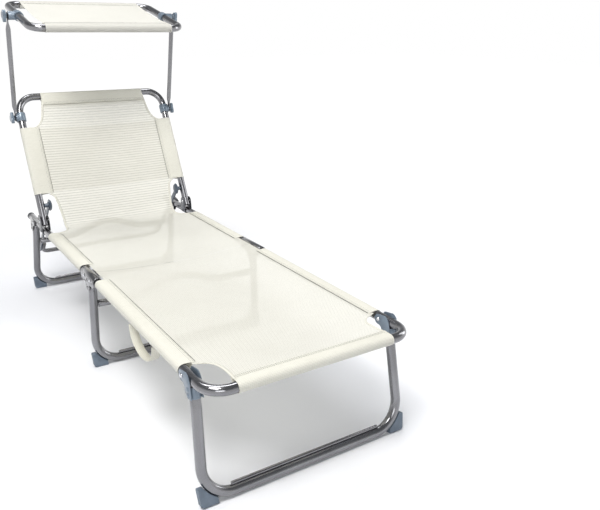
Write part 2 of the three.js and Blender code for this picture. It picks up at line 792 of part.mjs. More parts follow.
function hoopBar() {
  const outer = railHalfWidth - tubeRadius - knobStemLength + armThickness + gap;
  const x = outer - armThickness - gap - hoopRadius;
  const top = hoopLength - hoopLegLength;
  const corners = [at(-x, top, 0), at(-x, hoopLength, 0), at(x, hoopLength, 0), at(x, top, 0)];
  return swept(bentRoute(corners, [hoopBendRadius, hoopBendRadius]), disc(hoopRadius, hoopSides));
}

function addHoop() {
  const rest = hoopPlace(1);
  const hoop = new THREE.Group();
  hoop.position.set(0, rest.y, rest.z);
  hoop.rotation.x = rest.turn;
  lounger.add(hoop);
  addPiece(hoop, 'hoop_bar', hoopBar(), steel);
  for (const [side, sign] of sides) {
    addPiece(hoop, `hoop_arm_${side}`, hoopArm(sign), zinc);
  }
}

const strutFoot = at(0, backFootY + strutLowerAlong * Math.cos(backAngle),
  backFootZ + strutLowerAlong * Math.sin(backAngle));
const strutHead = at(0, canopyFrontY + canopyDepth / 2 * Math.cos(canopyTilt),
  canopyFrontZ + canopyDepth / 2 * Math.sin(canopyTilt));

// A round tube whose two ends are pressed flat round the screws
function strut(sign) {
  const length = strutFoot.distanceTo(strutHead);
  const tip = -strutFlatHalfWidth * strutTipShare;
  const places = [tip, ...strutEndShares.map((share) => strutFlatLength * share)];
  const all = [...places, ...places.map((place) => length - place).reverse()];
  const x = sign * strutX;
  const stations = all.map((along) => ({ point: at(x, along, 0), tangent: at(0, 1, 0) }));
  const geometry = swept(stations, disc(strutRadius, hoopSides));
  const position = geometry.attributes.position;
  for (let index = 0; index < position.count; index += 1) {
    const along = position.getY(index);
    const fromEnd = Math.min(along, length - along);
    const round = THREE.MathUtils.smoothstep(fromEnd, places[1], places[places.length - 1]);
    const thin = THREE.MathUtils.lerp(strutFlatThickness / 2 / strutRadius, 1, round);
    const wide = THREE.MathUtils.lerp(strutFlatHalfWidth / strutRadius, 1, round);
    position.setX(index, x + (position.getX(index) - x) * thin);
    position.setZ(index, position.getZ(index) * wide);
  }
  const holes = [0, length].map((along) => pinAcross(x, along, 0, overrun, screwHoleRadius));
  return toSolid(geometry).subtract(joined(holes));
}

function addStruts() {
  const struts = new THREE.Group();
  struts.position.copy(strutFoot);
  struts.rotation.x = Math.atan2(strutHead.z - strutFoot.z, strutHead.y - strutFoot.y);
  lounger.add(struts);
  for (const [side, sign] of sides) {
    addPiece(struts, `canopy_strut_${side}`, strut(sign), steel);
    addPiece(struts, `lower_screw_${side}`, lowerScrew(sign), bright);
    addPiece(struts, `lower_wing_nut_${side}`, wingKnob(sign, false), plastic);
  }
}

const canopy = new THREE.Group();
canopy.position.set(0, canopyFrontY, canopyFrontZ);
canopy.rotation.x = canopyTilt;
lounger.add(canopy);

function canopyFrame() {
  const x = canopyHalfWidth;
  const corners = [
    at(gap / 2, canopyDepth, 0),
    at(x, canopyDepth, 0),
    at(x, 0, 0),
    at(-x, 0, 0),
    at(-x, canopyDepth, 0),
    at(-gap / 2, canopyDepth, 0),
  ];
  const bend = canopyBendRadius;
  return swept(bentRoute(corners, [bend, bend, bend, bend]), disc(tubeRadius, tubeSides));
}

function addCanopy() {
  addPiece(canopy, 'canopy_frame', canopyFrame(), steel);
  addPiece(canopy, 'canopy_fabric', canopyCloth(), cloth);
  for (const [side, sign] of sides) {
    const clamp = addPiece(canopy, `upper_clamp_${side}`, collar(canopyHalfWidth, sign), plastic);
    clamp.position.set(0, canopyDepth / 2, 0);
    const wing = addPiece(canopy, `upper_wing_knob_${side}`, wingKnob(sign, true), plastic);
    wing.position.set(0, canopyDepth / 2, 0);
  }
}

// A sagging strip drawn across X and Z and drawn out along Y
function saggingStrip(halfWidth, rise, sag, yLow, yHigh) {
  const height = (share) => rise - sag * (1 - share * share);
  const shares = Array.from({ length: sagSteps + 1 }, (_, step) => 2 * step / sagSteps - 1);
  const upper = shares.map((share) => new THREE.Vector2(share * halfWidth, height(share) + clothThickness / 2));
  const lower = shares.map((share) => new THREE.Vector2(share * halfWidth, height(share) - clothThickness / 2));
  const geometry = new THREE.ExtrudeGeometry(new THREE.Shape([...lower, ...upper.reverse()]), {
    depth: yHigh - yLow, bevelEnabled: false,
  });
  geometry.rotateX(Math.PI / 2);
  geometry.translate(0, yHigh, 0);
  return toSolid(geometry);
}

// Half an outline, from the near end to the far end on the right, made whole by its mirror image
function mirroredOutline(half) {
  const left = half.map((point) => new THREE.Vector2(-point.x, point.y)).reverse();
  return new THREE.Shape([...half, ...left]);
}

function curvePoints(from, control, to) {
  const curve = new THREE.QuadraticBezierCurve(new THREE.Vector2(...from), new THREE.Vector2(...control),
    new THREE.Vector2(...to));
  return curve.getPoints(curveSteps);
}

function trimmedTo(solid, half) {
  return solid.intersect(toSolid(plateFlat(mirroredOutline(half), -2 * overrun, 4 * overrun)));
}

function bores(height, yLow, yHigh) {
  return sides.map(([, sign]) => toSolid(barBetween(at(sign * railHalfWidth, yLow, height),
    at(sign * railHalfWidth, yHigh, height), sleeveInner)));
}

const clothEdge = railHalfWidth - tubeRadius / 2;

function seatCloth() {
  const low = midLegY + foldGap / 2;
  const saddleEdge = railHalfWidth - cheekOuter - clothRise;
  const cut = cutoutHalfWidth;
  const half = [
    new THREE.Vector2(saddleEdge, low),
    new THREE.Vector2(saddleEdge, seatSleeveStart - clothRise),
    ...curvePoints([saddleEdge, seatSleeveStart - clothRise], [saddleEdge, seatSleeveStart],
      [clothEdge, seatSleeveStart]),
    new THREE.Vector2(clothEdge, seatSleeveEnd),
    ...curvePoints([railHalfWidth - sleeveOuter, seatSleeveEnd], [cut, seatSleeveEnd + clothRise],
      [cut, seatPanelEnd - clothRise]),
    new THREE.Vector2(cut, seatPanelEnd),
  ];
  const panel = trimmedTo(saggingStrip(clothEdge, clothRise, seatSag, low, seatPanelEnd), half);
  const sleeves = sides.map(([, sign]) => sleeveBetween(at(sign * railHalfWidth, seatSleeveStart, 0),
    at(sign * railHalfWidth, seatSleeveEnd, 0)));
  const whole = joined([panel, ...sleeves]).subtract(joined(bores(0, low, seatPanelEnd)));
  return whole.translate([0, 0, railHeight]);
}

function footCloth() {
  const high = midLegY - foldGap / 2;
  const saddleEdge = railHalfWidth - cheekOuter - clothRise;
  const cut = cutoutHalfWidth;
  const low = footBarY;
  const half = [
    new THREE.Vector2(cut, low),
    ...curvePoints([cut, low + sleeveOuter], [cut, low + footCutReach], [railHalfWidth - sleeveOuter,
      footSleeveStart]),
    new THREE.Vector2(clothEdge, footSleeveStart),
    new THREE.Vector2(clothEdge, footSleeveEnd),
    ...curvePoints([clothEdge, footSleeveEnd], [saddleEdge, footSleeveEnd], [saddleEdge,
      footSleeveEnd + clothRise]),
    new THREE.Vector2(saddleEdge, high),
  ];
  const panel = trimmedTo(saggingStrip(clothEdge, clothRise, seatSag, low, high), half);
  const sleeves = sides.map(([, sign]) => sleeveBetween(at(sign * railHalfWidth, footSleeveStart, 0),
    at(sign * railHalfWidth, footSleeveEnd, 0)));
  const front = sleeveBetween(at(-frontSleeveHalf, low, 0), at(frontSleeveHalf, low, 0));
  const frontBore = toSolid(barBetween(at(-railHalfWidth, low, 0), at(railHalfWidth, low, 0), sleeveInner));
  const whole = joined([panel, front, ...sleeves]).subtract(joined([frontBore, ...bores(0, low, high)]));
  return whole.translate([0, 0, railHeight]);
}

function backCloth() {
  const cut = cutoutHalfWidth;
  const top = backTopSleeveHalf;
  const half = [
    new THREE.Vector2(cut, backPanelStart),
    ...curvePoints([cut, backSleeveStart * hingeCutShare], [cut + clothRise, backSleeveStart],
      [railHalfWidth - sleeveOuter, backSleeveStart]),
    new THREE.Vector2(clothEdge, backSleeveStart),
    new THREE.Vector2(clothEdge, backSleeveEnd),
    ...curvePoints([railHalfWidth - sleeveOuter, backSleeveEnd], [top, backSleeveEnd], [top, backLength
      - sleeveOuter]),
    new THREE.Vector2(top, backLength),
  ];
  const panel = trimmedTo(saggingStrip(clothEdge, clothRise, seatSag, backPanelStart, backLength), half);
  const sleeves = sides.map(([, sign]) => sleeveBetween(at(sign * railHalfWidth, backSleeveStart, 0),
    at(sign * railHalfWidth, backSleeveEnd, 0)));
  const upper = sleeveBetween(at(-top, backLength, 0), at(top, backLength, 0));
  const upperBore = toSolid(barBetween(at(-railHalfWidth, backLength, 0), at(railHalfWidth, backLength, 0),
    sleeveInner));
  return joined([panel, upper, ...sleeves]).subtract(joined([upperBore, ...bores(0, backPanelStart, backLength)]));
}

// The canopy cloth is held by the front and rear bars only and sags between them
function canopyCloth() {
  const half = canopySleeveHalf;
  const steps = Array.from({ length: sagSteps + 1 }, (_, step) => step / sagSteps);
  const height = (share) => clothRise - canopySag * 4 * share * (1 - share);
  const upper = steps.map((share) => new THREE.Vector2(share * canopyDepth, height(share) + clothThickness / 2));
  const lower = steps.map((share) => new THREE.Vector2(share * canopyDepth, height(share) - clothThickness / 2));
  const panel = plateAcross(new THREE.Shape([...lower, ...upper.reverse()]), -half, half);
  const ends = [0, canopyDepth];
  const sleeves = ends.map((y) => sleeveBetween(at(-half, y, 0), at(half, y, 0)));
  const tubes = ends.map((y) => toSolid(barBetween(at(-canopyHalfWidth, y, 0), at(canopyHalfWidth, y, 0),
    sleeveInner)));
  return joined([panel, ...sleeves]).subtract(joined(tubes));
}

// A loop of webbing that hangs from the left foot rail and carries the folded lounger
function carryStrap() {
  const top = railHeight - sleeveOuter - gap;
  const middle = (strapNearY + strapFarY) / 2;
  const reach = (strapFarY - strapNearY) / 2;
  const pointAt = (share, inset) => {
    const angle = Math.PI * share;
    const y = middle - (reach - inset) * Math.cos(angle);
    return new THREE.Vector2(y, top - (strapDrop - inset) * Math.sin(angle));
  };
  const shares = Array.from({ length: strapSteps + 1 }, (_, step) => step / strapSteps);
  const outer = shares.map((share) => pointAt(share, 0));
  const inner = shares.map((share) => pointAt(share, strapThickness)).reverse();
  const x = -railHalfWidth;
  return plateAcross(new THREE.Shape([...outer, ...inner]), x - strapWidth / 2, x + strapWidth / 2);
}

function addCloth() {
  addPiece(lounger, 'seat_fabric', seatCloth(), cloth);
  addPiece(lounger, 'foot_fabric', footCloth(), cloth);
  addPiece(lounger, 'carry_strap', carryStrap(), cloth);
}

addRails();
addLegs();
addBackrest();
addHoop();
addStruts();
addCanopy();
addCloth();

// The origin is on the floor, below the middle of the whole
lounger.updateMatrixWorld(true);
const extent = new THREE.Box3().setFromObject(lounger, true);
lounger.position.set(0, -(extent.min.y + extent.max.y) / 2, -extent.min.z);

export default lounger;
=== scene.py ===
import bpy
import math
import numpy as np
from mathutils import Matrix, Vector

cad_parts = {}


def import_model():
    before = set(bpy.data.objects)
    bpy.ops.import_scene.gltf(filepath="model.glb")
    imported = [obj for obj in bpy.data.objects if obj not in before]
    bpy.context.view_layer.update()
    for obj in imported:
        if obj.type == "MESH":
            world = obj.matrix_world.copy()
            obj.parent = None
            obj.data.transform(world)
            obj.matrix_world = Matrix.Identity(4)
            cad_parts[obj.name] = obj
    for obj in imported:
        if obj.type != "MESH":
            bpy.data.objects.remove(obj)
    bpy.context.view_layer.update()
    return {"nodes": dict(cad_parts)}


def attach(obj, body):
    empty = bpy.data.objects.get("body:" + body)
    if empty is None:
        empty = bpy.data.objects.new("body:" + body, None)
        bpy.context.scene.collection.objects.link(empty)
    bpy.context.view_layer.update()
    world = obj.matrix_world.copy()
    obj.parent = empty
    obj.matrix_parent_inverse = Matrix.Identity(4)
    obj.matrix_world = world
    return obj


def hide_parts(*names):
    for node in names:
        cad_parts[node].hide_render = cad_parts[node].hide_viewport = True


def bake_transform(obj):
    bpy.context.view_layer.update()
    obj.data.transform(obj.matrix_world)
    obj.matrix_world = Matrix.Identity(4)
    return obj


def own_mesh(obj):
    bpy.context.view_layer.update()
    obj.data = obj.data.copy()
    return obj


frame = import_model()
nodes = frame["nodes"]

# Sizes in millimetres and places as in the solids: X across, Y from the foot leg's bar to the head, Z up.
# The row frame has its middle elsewhere along Y, so world() moves every point by LAYOUT_SHIFT.
MM = 0.001
LAYOUT_SHIFT = -759.2914
SIDES = (("left", -1), ("right", 1))

TUBE_RADIUS = 12.5
TUBE_RIM = 0.8
RIM_SHARE = 0.3
TUBE_SIDES = 28
BEND_STEP = math.radians(4)

# Rails and folds
RAIL_X = 271.4
RAIL_Z = 292.8
RAIL_END = 1494.0
FRONT_Y = -30.7
FRONT_BEND = 52.0
FOLD_Y = 748.0
LEG_OFFSET = 27.2
FOOT_PIVOT_Y = FOLD_Y - LEG_OFFSET
SEAT_PIVOT_Y = FOLD_Y + LEG_OFFSET

# Legs: each stands in a plane of its own, with its bottom bar at the plane's zero
LEG_FOOT_X = 280.0
LEG_BEND = 75.0
LEG_KNEE_BEND = 150.0
LEG_KNEE_DROP = 52.0
LEG_BAR_HEIGHT = 14.2
LEG_GAP = 0.3
FOOT_LEAN = math.radians(9.8)
HEAD_LEAN = math.radians(13.05)
HEAD_LEG_Y = 1493.4
ROD_RADIUS = 4.5
ROD_SINK = 0.6
CROSSBAR_RADIUS = 11.0
CROSSBAR_FIT = 0.7
CROSSBAR_HEIGHT = 205.0
HUMP_HALF_WIDTH = 155.0
HUMP_POINTS = 41
MID_HUMP = 37.0
HEAD_HUMP = 45.0

# Foot caps
CAP_HALF_THICKNESS = 8.5
CAP_REACH = 46.0
CAP_CORNER = 9.0
CAP_DRAFT = 3.0
CAP_LIP_DROP = 4.0
CAP_LIP_INSET = 1.2
CAP_CRADLE = 10.4
CAP_EDGE = 1.1

# Backrest and canopy, each in a plane of its own that turns about X
BACK_Y, BACK_Z = 1269.3, 298.5
BACK_ANGLE = math.radians(62.5)
BACK_START = 15.0
BACK_LENGTH = 489.4
BACK_BEND = 58.0
CANOPY_Y, CANOPY_Z = 1218.9, 975.4
CANOPY_ANGLE = math.radians(12.24)
CANOPY_X = 257.2
CANOPY_DEPTH = 338.3
CANOPY_BEND = 42.0
CANOPY_JOINT = 0.2

# Cloth on the rails
CLOTH_TOP = TUBE_RADIUS + 0.8
WRAP_RADIUS = TUBE_RADIUS + 0.9
SAG = 15.0
SAG_FRONT_RUN = 150.0
SAG_TOP_RUN = 120.0
SEAM_X = 243.0
BACK_SEAM_X = 221.0
SEAM_INSET = 3.0
OUTER_SEAM_INSET = 8.0
SEAM_LIFT = 1.25
# The lip cord: a thin dark cord along each side sleeve's lip, a painted shadow line where the lip's edge
# shades the panel
LIP_INSET = 0.8
LIP_LIFT = 0.7
LIP_RADIUS = 0.8
SPLIT_S = 1010.0
FOLD_SLIT = 0.4
ROW_STEP = 7.0
HEM_STEP = 3.0
SLEEVE_STEP = 12.0
PANEL_COLUMNS = 56
FOOT_SLEEVE = (96, 674)
SEAT_SLEEVE = (822, 1190)
BACK_SLEEVE = (127, 372)
STITCH_INSET = 2.0
FRONT_SLEEVE_HALF = 209.0
TOP_SLEEVE_HALF = 190.5
BAR_SLEEVE_REACH = 24.0
TOP_SLEEVE_REACH = 36.0
BAR_COLUMNS = 40
BAR_RISE = 0.7
BAR_END_INSET, BAR_END_DROP = 2.0, 1.1
BAR_SEAM_LIFT = 1.2
BAR_SEAM_POINTS = 30
SEAM_POINTS = 40
LIP_POINTS = 12
CORD_SIDES = 8
SLEEVE_LIFT = 1.1
SLEEVE_END_DROP = 1.0
BAR_TOP_SHARES = (0.75, 0.5, 0.25)
DOUBLED_HALF = 223.0
DOUBLED_T = ((132, 367), (441, 480))
# Small outlines in section: (inset, drop) of a sleeve's lip, (inset, rise) of a bar sleeve's lip,
# and (across, height) of a hem, from the cloth over its free edge and under it
SLEEVE_LIP = ((0.6, 1.0), (0.7, 0.4))
BAR_LIP = ((0.4, 0.05), (0.0, 0.6), (1.0, 1.0))
HEM_SECTION = ((-7.0, 0.15), (-7.0, 1.0), (-3.5, 1.15), (0.2, 1.1), (1.0, 0.3), (0.9, -0.5), (0.2, -1.0),
               (-2.0, -1.0))
HEM_LOOK_AHEAD = 0.5
FRONT_HEM_INSET = 10.0
TOP_HEM_INSET = 14.0
FOOT_HEM_END = 92.0
HINGE_HEM_START = 1188.0
HINGE_HEM_END_T = 123.0

# Places along the cloth near the middle fold and the backrest's hinge
FOLD_RUN = 70.0
FOLD_CLEAR = 4.0
HINGE_BLEND_Y = 1226.0
HINGE_BLEND_T = 120.0

# Seams
STITCH_PITCH = 4.6
STITCH_LENGTH = 3.2
STITCH_HALF = 0.63
STITCH_RISE = 0.84
STITCH_SINK = 0.2

# Canopy cloth
CANOPY_CLOTH_HALF = 214.0
CANOPY_SAG = 9.0
CANOPY_DIP = 1.6
CANOPY_TURN_IN = 30.0
CANOPY_LAYER = 1.1
CANOPY_SEAMS = (27.0, 31.0)
CANOPY_SEAM_LIFT = 0.1
CANOPY_EDGE_RADIUS = 0.6
CANOPY_EDGE_INSET, CANOPY_EDGE_LIFT = 0.3, 0.2
CANOPY_EDGE_START = 18.0
CANOPY_DIP_START, CANOPY_DIP_RUN = 20.0, 80.0
CANOPY_COLUMNS = 48

# Hand strap
STRAP_Y = 331.0
STRAP_REACH = 76.0
STRAP_DROP = 60.0
STRAP_LIFT = 0.3
STRAP_HALF = 11.6
STRAP_SECTION = ((-STRAP_HALF, 0), (-10.8, 0.8), (0, 1.0), (10.8, 0.8),
                 (STRAP_HALF, 0), (10.8, -0.8), (0, -1.0), (-10.8, -0.8))


def world(points):
    """Millimetres of the solids' layout to metres in the row frame."""
    moved = np.asarray(points, float).reshape(-1, 3).copy()
    moved[:, 1] += LAYOUT_SHIFT
    return moved * MM


def turned(points, angle, y, z):
    """Points in a plane's own axes, turned about X and moved to its place."""
    flat = np.asarray(points, float).reshape(-1, 3)
    cosine, sine = math.cos(angle), math.sin(angle)
    out = flat.copy()
    out[:, 1] = y + flat[:, 1] * cosine - flat[:, 2] * sine
    out[:, 2] = z + flat[:, 1] * sine + flat[:, 2] * cosine
    return out


def on_back(points):
    return turned(points, BACK_ANGLE, BACK_Y, BACK_Z)


def on_canopy(points):
    return turned(points, CANOPY_ANGLE, CANOPY_Y, CANOPY_Z)


def on_rail(points):
    return turned(points, 0.0, 0.0, RAIL_Z)


def up_from(place):
    """The direction that a placing function gives to its own up."""
    return unit(place([[0, 0, 1]])[0] - place([[0, 0, 0]])[0])


def unit(vector):
    return vector / np.linalg.norm(vector)


def reach_along(points):
    """The distance along a polyline at each of its points."""
    steps = np.linalg.norm(np.diff(np.asarray(points, float), axis=0), axis=1)
    return np.concatenate([[0], np.cumsum(steps)])


# Materials

class Nodes:
    """A short way to write a node tree."""

    def __init__(self, owner, output):
        owner.use_nodes = True
        self.tree = owner.node_tree
        self.tree.nodes.clear()
        self.output = self.new(output)

    def surface(self, shader):
        self.link(shader, self.output.inputs["Surface"])

    def new(self, kind, **values):
        node = self.tree.nodes.new(kind)
        for key, value in values.items():
            setattr(node, key, value)
        return node

    def link(self, source, target):
        self.tree.links.new(source, target)

    def put(self, socket, value):
        if isinstance(value, bpy.types.NodeSocket):
            self.link(value, socket)
        else:
            socket.default_value = value

    def math(self, operation, first, second, clamp=False):
        node = self.new("ShaderNodeMath", operation=operation, use_clamp=clamp)
        self.put(node.inputs[0], first)
        self.put(node.inputs[1], second)
        return node.outputs[0]

    def times(self, first, second):
        return self.math("MULTIPLY", first, second)

    def plus(self, first, second, clamp=False):
        return self.math("ADD", first, second, clamp)

    def rest(self, value):
        return self.math("SUBTRACT", 1.0, value)

    def wave(self, place, pitch):
        """A sine along a place in metres, with its pitch in millimetres."""
        turns = 2 * math.pi / (pitch * MM)
        return self.math("SINE", self.times(place, turns), 0.0)

    def ramp(self, value, low, high, to_low=0.0, to_high=1.0, smooth=True):
        kind = "SMOOTHSTEP" if smooth else "LINEAR"
        node = self.new("ShaderNodeMapRange", interpolation_type=kind)
        for socket, given in zip(node.inputs, (value, low, high, to_low, to_high)):
            self.put(socket, given)
        return node.outputs[0]

    def mix(self, factor, first, second):
        node = self.new("ShaderNodeMix", data_type="RGBA")
        for key, value in zip((0, 6, 7), (factor, first, second)):
            self.put(node.inputs[key], value)
        return node.outputs[2]

    def stretched(self, where, scale):
        mapping = self.new("ShaderNodeMapping")
        mapping.inputs["Scale"].default_value = scale
        self.link(where, mapping.inputs["Vector"])
        return mapping.outputs["Vector"]

    def noise(self, scale, detail=2.0, stretch=None, roughness=0.5):
        where = self.new("ShaderNodeTexCoord").outputs["Object"]
        if stretch:
            where = self.stretched(where, stretch)
        node = self.new("ShaderNodeTexNoise")
        node.inputs["Scale"].default_value = scale
        node.inputs["Detail"].default_value = detail
        node.inputs["Roughness"].default_value = roughness
        self.link(where, node.inputs["Vector"])
        return node.outputs["Fac"]

    def bump(self, height, strength, depth):
        node = self.new("ShaderNodeBump")
        node.inputs["Strength"].default_value = strength
        node.inputs["Distance"].default_value = depth * MM
        self.link(height, node.inputs["Height"])
        return node.outputs["Normal"]

    def principled(self, colour, **uniform):
        """The main shader; uniform values go on its own sockets, with _ for a space in their names."""
        shader = self.new("ShaderNodeBsdfPrincipled")
        self.link(colour, shader.inputs["Base Color"])
        for key, value in uniform.items():
            shader.inputs[key.replace("_", " ")].default_value = value
        return shader

    def blend(self, factor, first, second):
        mixer = self.new("ShaderNodeMixShader")
        self.put(mixer.inputs[0], factor)
        self.link(first, mixer.inputs[1])
        self.link(second, mixer.inputs[2])
        return mixer.outputs[0]


def material_nodes(name):
    material = bpy.data.materials.new(name)
    return material, Nodes(material, "ShaderNodeOutputMaterial")


def rgb(red, green, blue):
    return (red, green, blue, 1)


DUST_COLOUR = rgb(0.5, 0.5, 0.5)
PEEL_DEPTH, GRAIN_DEPTH, THREAD_DEPTH = 0.2, 0.15, 0.4


def painted_metal(name, light, dark, metallic, roughness, coat, grain):
    """Powder coat or bare metal: cloudy tone, fine orange peel, and dulled patches with a little dust."""
    material, t = material_nodes(name)
    cloud = t.noise(9.0, detail=4.0)
    fine = t.noise(grain)
    dust = t.noise(60.0, detail=6.0, roughness=0.7)
    colour = t.mix(t.ramp(cloud, 0.3, 0.7), rgb(*dark), rgb(*light))
    colour = t.mix(t.ramp(dust, 0.66, 0.9, 0.0, 0.1), colour, DUST_COLOUR)
    shader = t.principled(colour, Metallic=metallic, Coat_Weight=coat, Coat_Roughness=0.12)
    t.link(t.ramp(dust, 0.3, 0.75, *roughness), shader.inputs["Roughness"])
    t.link(t.bump(fine, strength=0.04, depth=PEEL_DEPTH), shader.inputs["Normal"])
    t.surface(shader.outputs[0])
    return material


def moulded(name, light, dark):
    """Moulded nylon: a fine spark-eroded grain, slightly paler where it is rubbed."""
    material, t = material_nodes(name)
    grain = t.noise(2600.0)
    patch = t.noise(35.0, detail=4.0)
    colour = t.mix(t.ramp(patch, 0.3, 0.72), rgb(*dark), rgb(*light))
    shader = t.principled(colour, Specular_IOR_Level=0.55)
    t.link(t.ramp(patch, 0.2, 0.8, 0.34, 0.52), shader.inputs["Roughness"])
    t.link(t.bump(grain, strength=0.3, depth=GRAIN_DEPTH), shader.inputs["Normal"])
    t.surface(shader.outputs[0])
    return material


# Pitches of the cloth's threads in millimetres, and how much each pattern darkens it
THREAD_ALONG_PITCH = 1.9
THREAD_ACROSS_PITCH = 2.3
DASH_PITCH = 4.6
RIB_WANDER = 1.6
RIB_SHARE, PICK_SHARE, THREAD_SHARE = 0.62, 0.45, 0.16
SLUB_SHARE, CLOUD_SHARE, SECOND_LAYER_SHARE = 0.14, 0.12, 0.2
SECOND_LAYER_CLOSES_SHARE = 0.45
SHADOW_CLOSES_SHARE = 0.7
PLAIN_SHARE = 0.4
PLAIN_RUN = 120.0


def doubled_bands(t, across, along, bands, half):
    """One where a second layer lies behind the cloth: bands along it, as wide as half each way."""
    inside = t.math("LESS_THAN", t.math("ABSOLUTE", across, 0.0), half * MM)
    total = None
    for low, high in bands:
        above = t.math("GREATER_THAN", along, low * MM)
        band = t.times(t.times(above, t.math("LESS_THAN", along, high * MM)), inside)
        total = band if total is None else t.math("MAXIMUM", total, band)
    return total


def woven(name, light, dark, rib=9.4, opening=(0.1, 0.36), bands=(), bands_half=0.0, rib_depth=1.0,
          glow=0.16, plain_below=0.0):
    """Sheer outdoor mesh: ribs across, open rows between them, and fine thread in both ways.
    The UV layer "flat" holds the place on the flat cloth in metres. Below plain_below the ribs fade."""
    material, t = material_nodes(name)
    split = t.new("ShaderNodeSeparateXYZ")
    t.link(t.new("ShaderNodeUVMap", uv_map="flat").outputs["UV"], split.inputs[0])
    across, along = split.outputs[0], split.outputs[1]
    drift = t.times(t.math("SUBTRACT", t.noise(16.0), 0.5), RIB_WANDER * MM)
    rib_row = t.ramp(t.wave(t.plus(along, drift), rib), 0.1, 0.85)
    cross = t.times(t.wave(across, THREAD_ACROSS_PITCH), t.wave(along, THREAD_ALONG_PITCH))
    dash = t.ramp(t.wave(across, DASH_PITCH), -0.25, 0.35)
    pick = t.times(rib_row, dash)
    second = doubled_bands(t, across, along, bands, bands_half) if bands else None

    shade = t.times(rib_row, rib_depth)
    if plain_below:
        low, high = (plain_below - PLAIN_RUN) * MM, plain_below * MM
        shade = t.times(shade, t.ramp(along, low, high, PLAIN_SHARE, 1.0))
    shade = t.plus(t.times(shade, RIB_SHARE), t.times(t.ramp(cross, -1, 1), THREAD_SHARE))
    shade = t.plus(shade, t.times(pick, PICK_SHARE * rib_depth))
    shade = t.plus(shade, t.ramp(t.noise(420.0, stretch=(0.12, 1.0, 1.0)), 0.35, 0.8, 0.0, SLUB_SHARE))
    shade = t.plus(shade, t.ramp(t.noise(5.0, detail=3.0), 0.3, 0.75, 0.0, CLOUD_SHARE), clamp=True)
    if second is not None:
        shade = t.plus(shade, t.times(second, SECOND_LAYER_SHARE), clamp=True)
    colour = t.mix(shade, rgb(*light), rgb(*dark))

    shader = t.principled(colour, Roughness=0.62, Sheen_Weight=0.12, Sheen_Roughness=0.4)
    height = t.plus(t.times(cross, 0.25), t.times(rib_row, -0.8))
    t.link(t.bump(height, strength=0.5, depth=THREAD_DEPTH), shader.inputs["Normal"])
    through = t.new("ShaderNodeBsdfTranslucent")
    t.link(colour, through.inputs["Color"])
    body = t.blend(glow, shader.outputs[0], through.outputs[0])

    open_share = t.ramp(pick, 0.0, 1.0, *opening, smooth=False)
    if second is not None:
        open_share = t.times(open_share, t.rest(t.times(second, SECOND_LAYER_CLOSES_SHARE)))
    shadow = t.new("ShaderNodeLightPath").outputs["Is Shadow Ray"]
    open_share = t.times(open_share, t.rest(t.times(shadow, SHADOW_CLOSES_SHARE)))
    clear = t.new("ShaderNodeBsdfTransparent")
    t.surface(t.blend(open_share, body, clear.outputs[0]))
    return material


CREAM = (0.86, 0.85, 0.775)
CREAM_SHADE = (0.56, 0.545, 0.47)

steel = painted_metal("gunmetal_tube", (0.27, 0.27, 0.283), (0.21, 0.21, 0.222), metallic=0.95,
                      roughness=(0.15, 0.22), coat=0.45, grain=1500.0)
saddle_metal = painted_metal("pressed_steel", (0.34, 0.34, 0.35), (0.24, 0.24, 0.25), metallic=0.95,
                             roughness=(0.14, 0.22), coat=0.5, grain=1300.0)
dark_metal = painted_metal("dark_steel", (0.15, 0.155, 0.17), (0.09, 0.095, 0.105), metallic=0.8,
                           roughness=(0.22, 0.34), coat=0.3, grain=1300.0)
bracket = painted_metal("blue_grey_coat", (0.20, 0.255, 0.315), (0.14, 0.18, 0.23), metallic=0.25,
                        roughness=(0.3, 0.42), coat=0.35, grain=1900.0)
dark_coat = painted_metal("dark_blue_coat", (0.10, 0.13, 0.17), (0.06, 0.08, 0.11), metallic=0.3,
                          roughness=(0.3, 0.42), coat=0.35, grain=1900.0)
bright = painted_metal("plated_rivet", (0.78, 0.79, 0.81), (0.6, 0.61, 0.63), metallic=0.95,
                       roughness=(0.14, 0.26), coat=0.0, grain=900.0)
plastic = moulded("blue_grey_nylon", (0.15, 0.19, 0.24), (0.09, 0.12, 0.16))
dark_plastic = moulded("dark_nylon", (0.09, 0.105, 0.13), (0.05, 0.06, 0.075))
# Dark thread for the stitches; the same material colours the thin cord that paints a shadow line along each
# sleeve's lip
thread = moulded("stitch_thread_and_shadow_line", (0.12, 0.115, 0.1), (0.07, 0.066, 0.055))
seat_weave = woven("seat_mesh", CREAM, CREAM_SHADE, rib=5.6)
sleeve_weave = woven("sleeve_mesh", (0.84, 0.83, 0.75), (0.56, 0.545, 0.46), rib=3.1,
                     opening=(0.0, 0.02), rib_depth=0.55, glow=0.08)
top_weave = woven("top_hem_mesh", (0.86, 0.85, 0.765), (0.64, 0.625, 0.535), rib=3.1,
                  opening=(0.0, 0.02), rib_depth=0.5, glow=0.08)
canopy_weave = woven("canopy_mesh", (0.74, 0.73, 0.68), (0.58, 0.57, 0.505), rib=4.7,
                     opening=(0.02, 0.08), rib_depth=0.4, glow=0.22)
webbing = woven("strap_webbing", (0.80, 0.785, 0.70), (0.5, 0.485, 0.4), rib=1.9,
                opening=(0.0, 0.0), rib_depth=0.7, glow=0.05)


# Mesh makers

def mesh_object(name, points, faces, material, uv=None):
    mesh = bpy.data.meshes.new(name)
    mesh.from_pydata([tuple(p) for p in points], [], faces)
    if uv is not None:
        layer = mesh.uv_layers.new(name="flat")
        loops = np.zeros(len(mesh.loops), np.int32)
        mesh.loops.foreach_get("vertex_index", loops)
        layer.data.foreach_set("uv", np.asarray(uv, np.float32)[loops].ravel())
    mesh.polygons.foreach_set("use_smooth", [True] * len(mesh.polygons))
    mesh.validate()
    mesh.update()
    piece = bpy.data.objects.new(name, mesh)
    bpy.context.scene.collection.objects.link(piece)
    mesh.materials.append(material)
    return piece


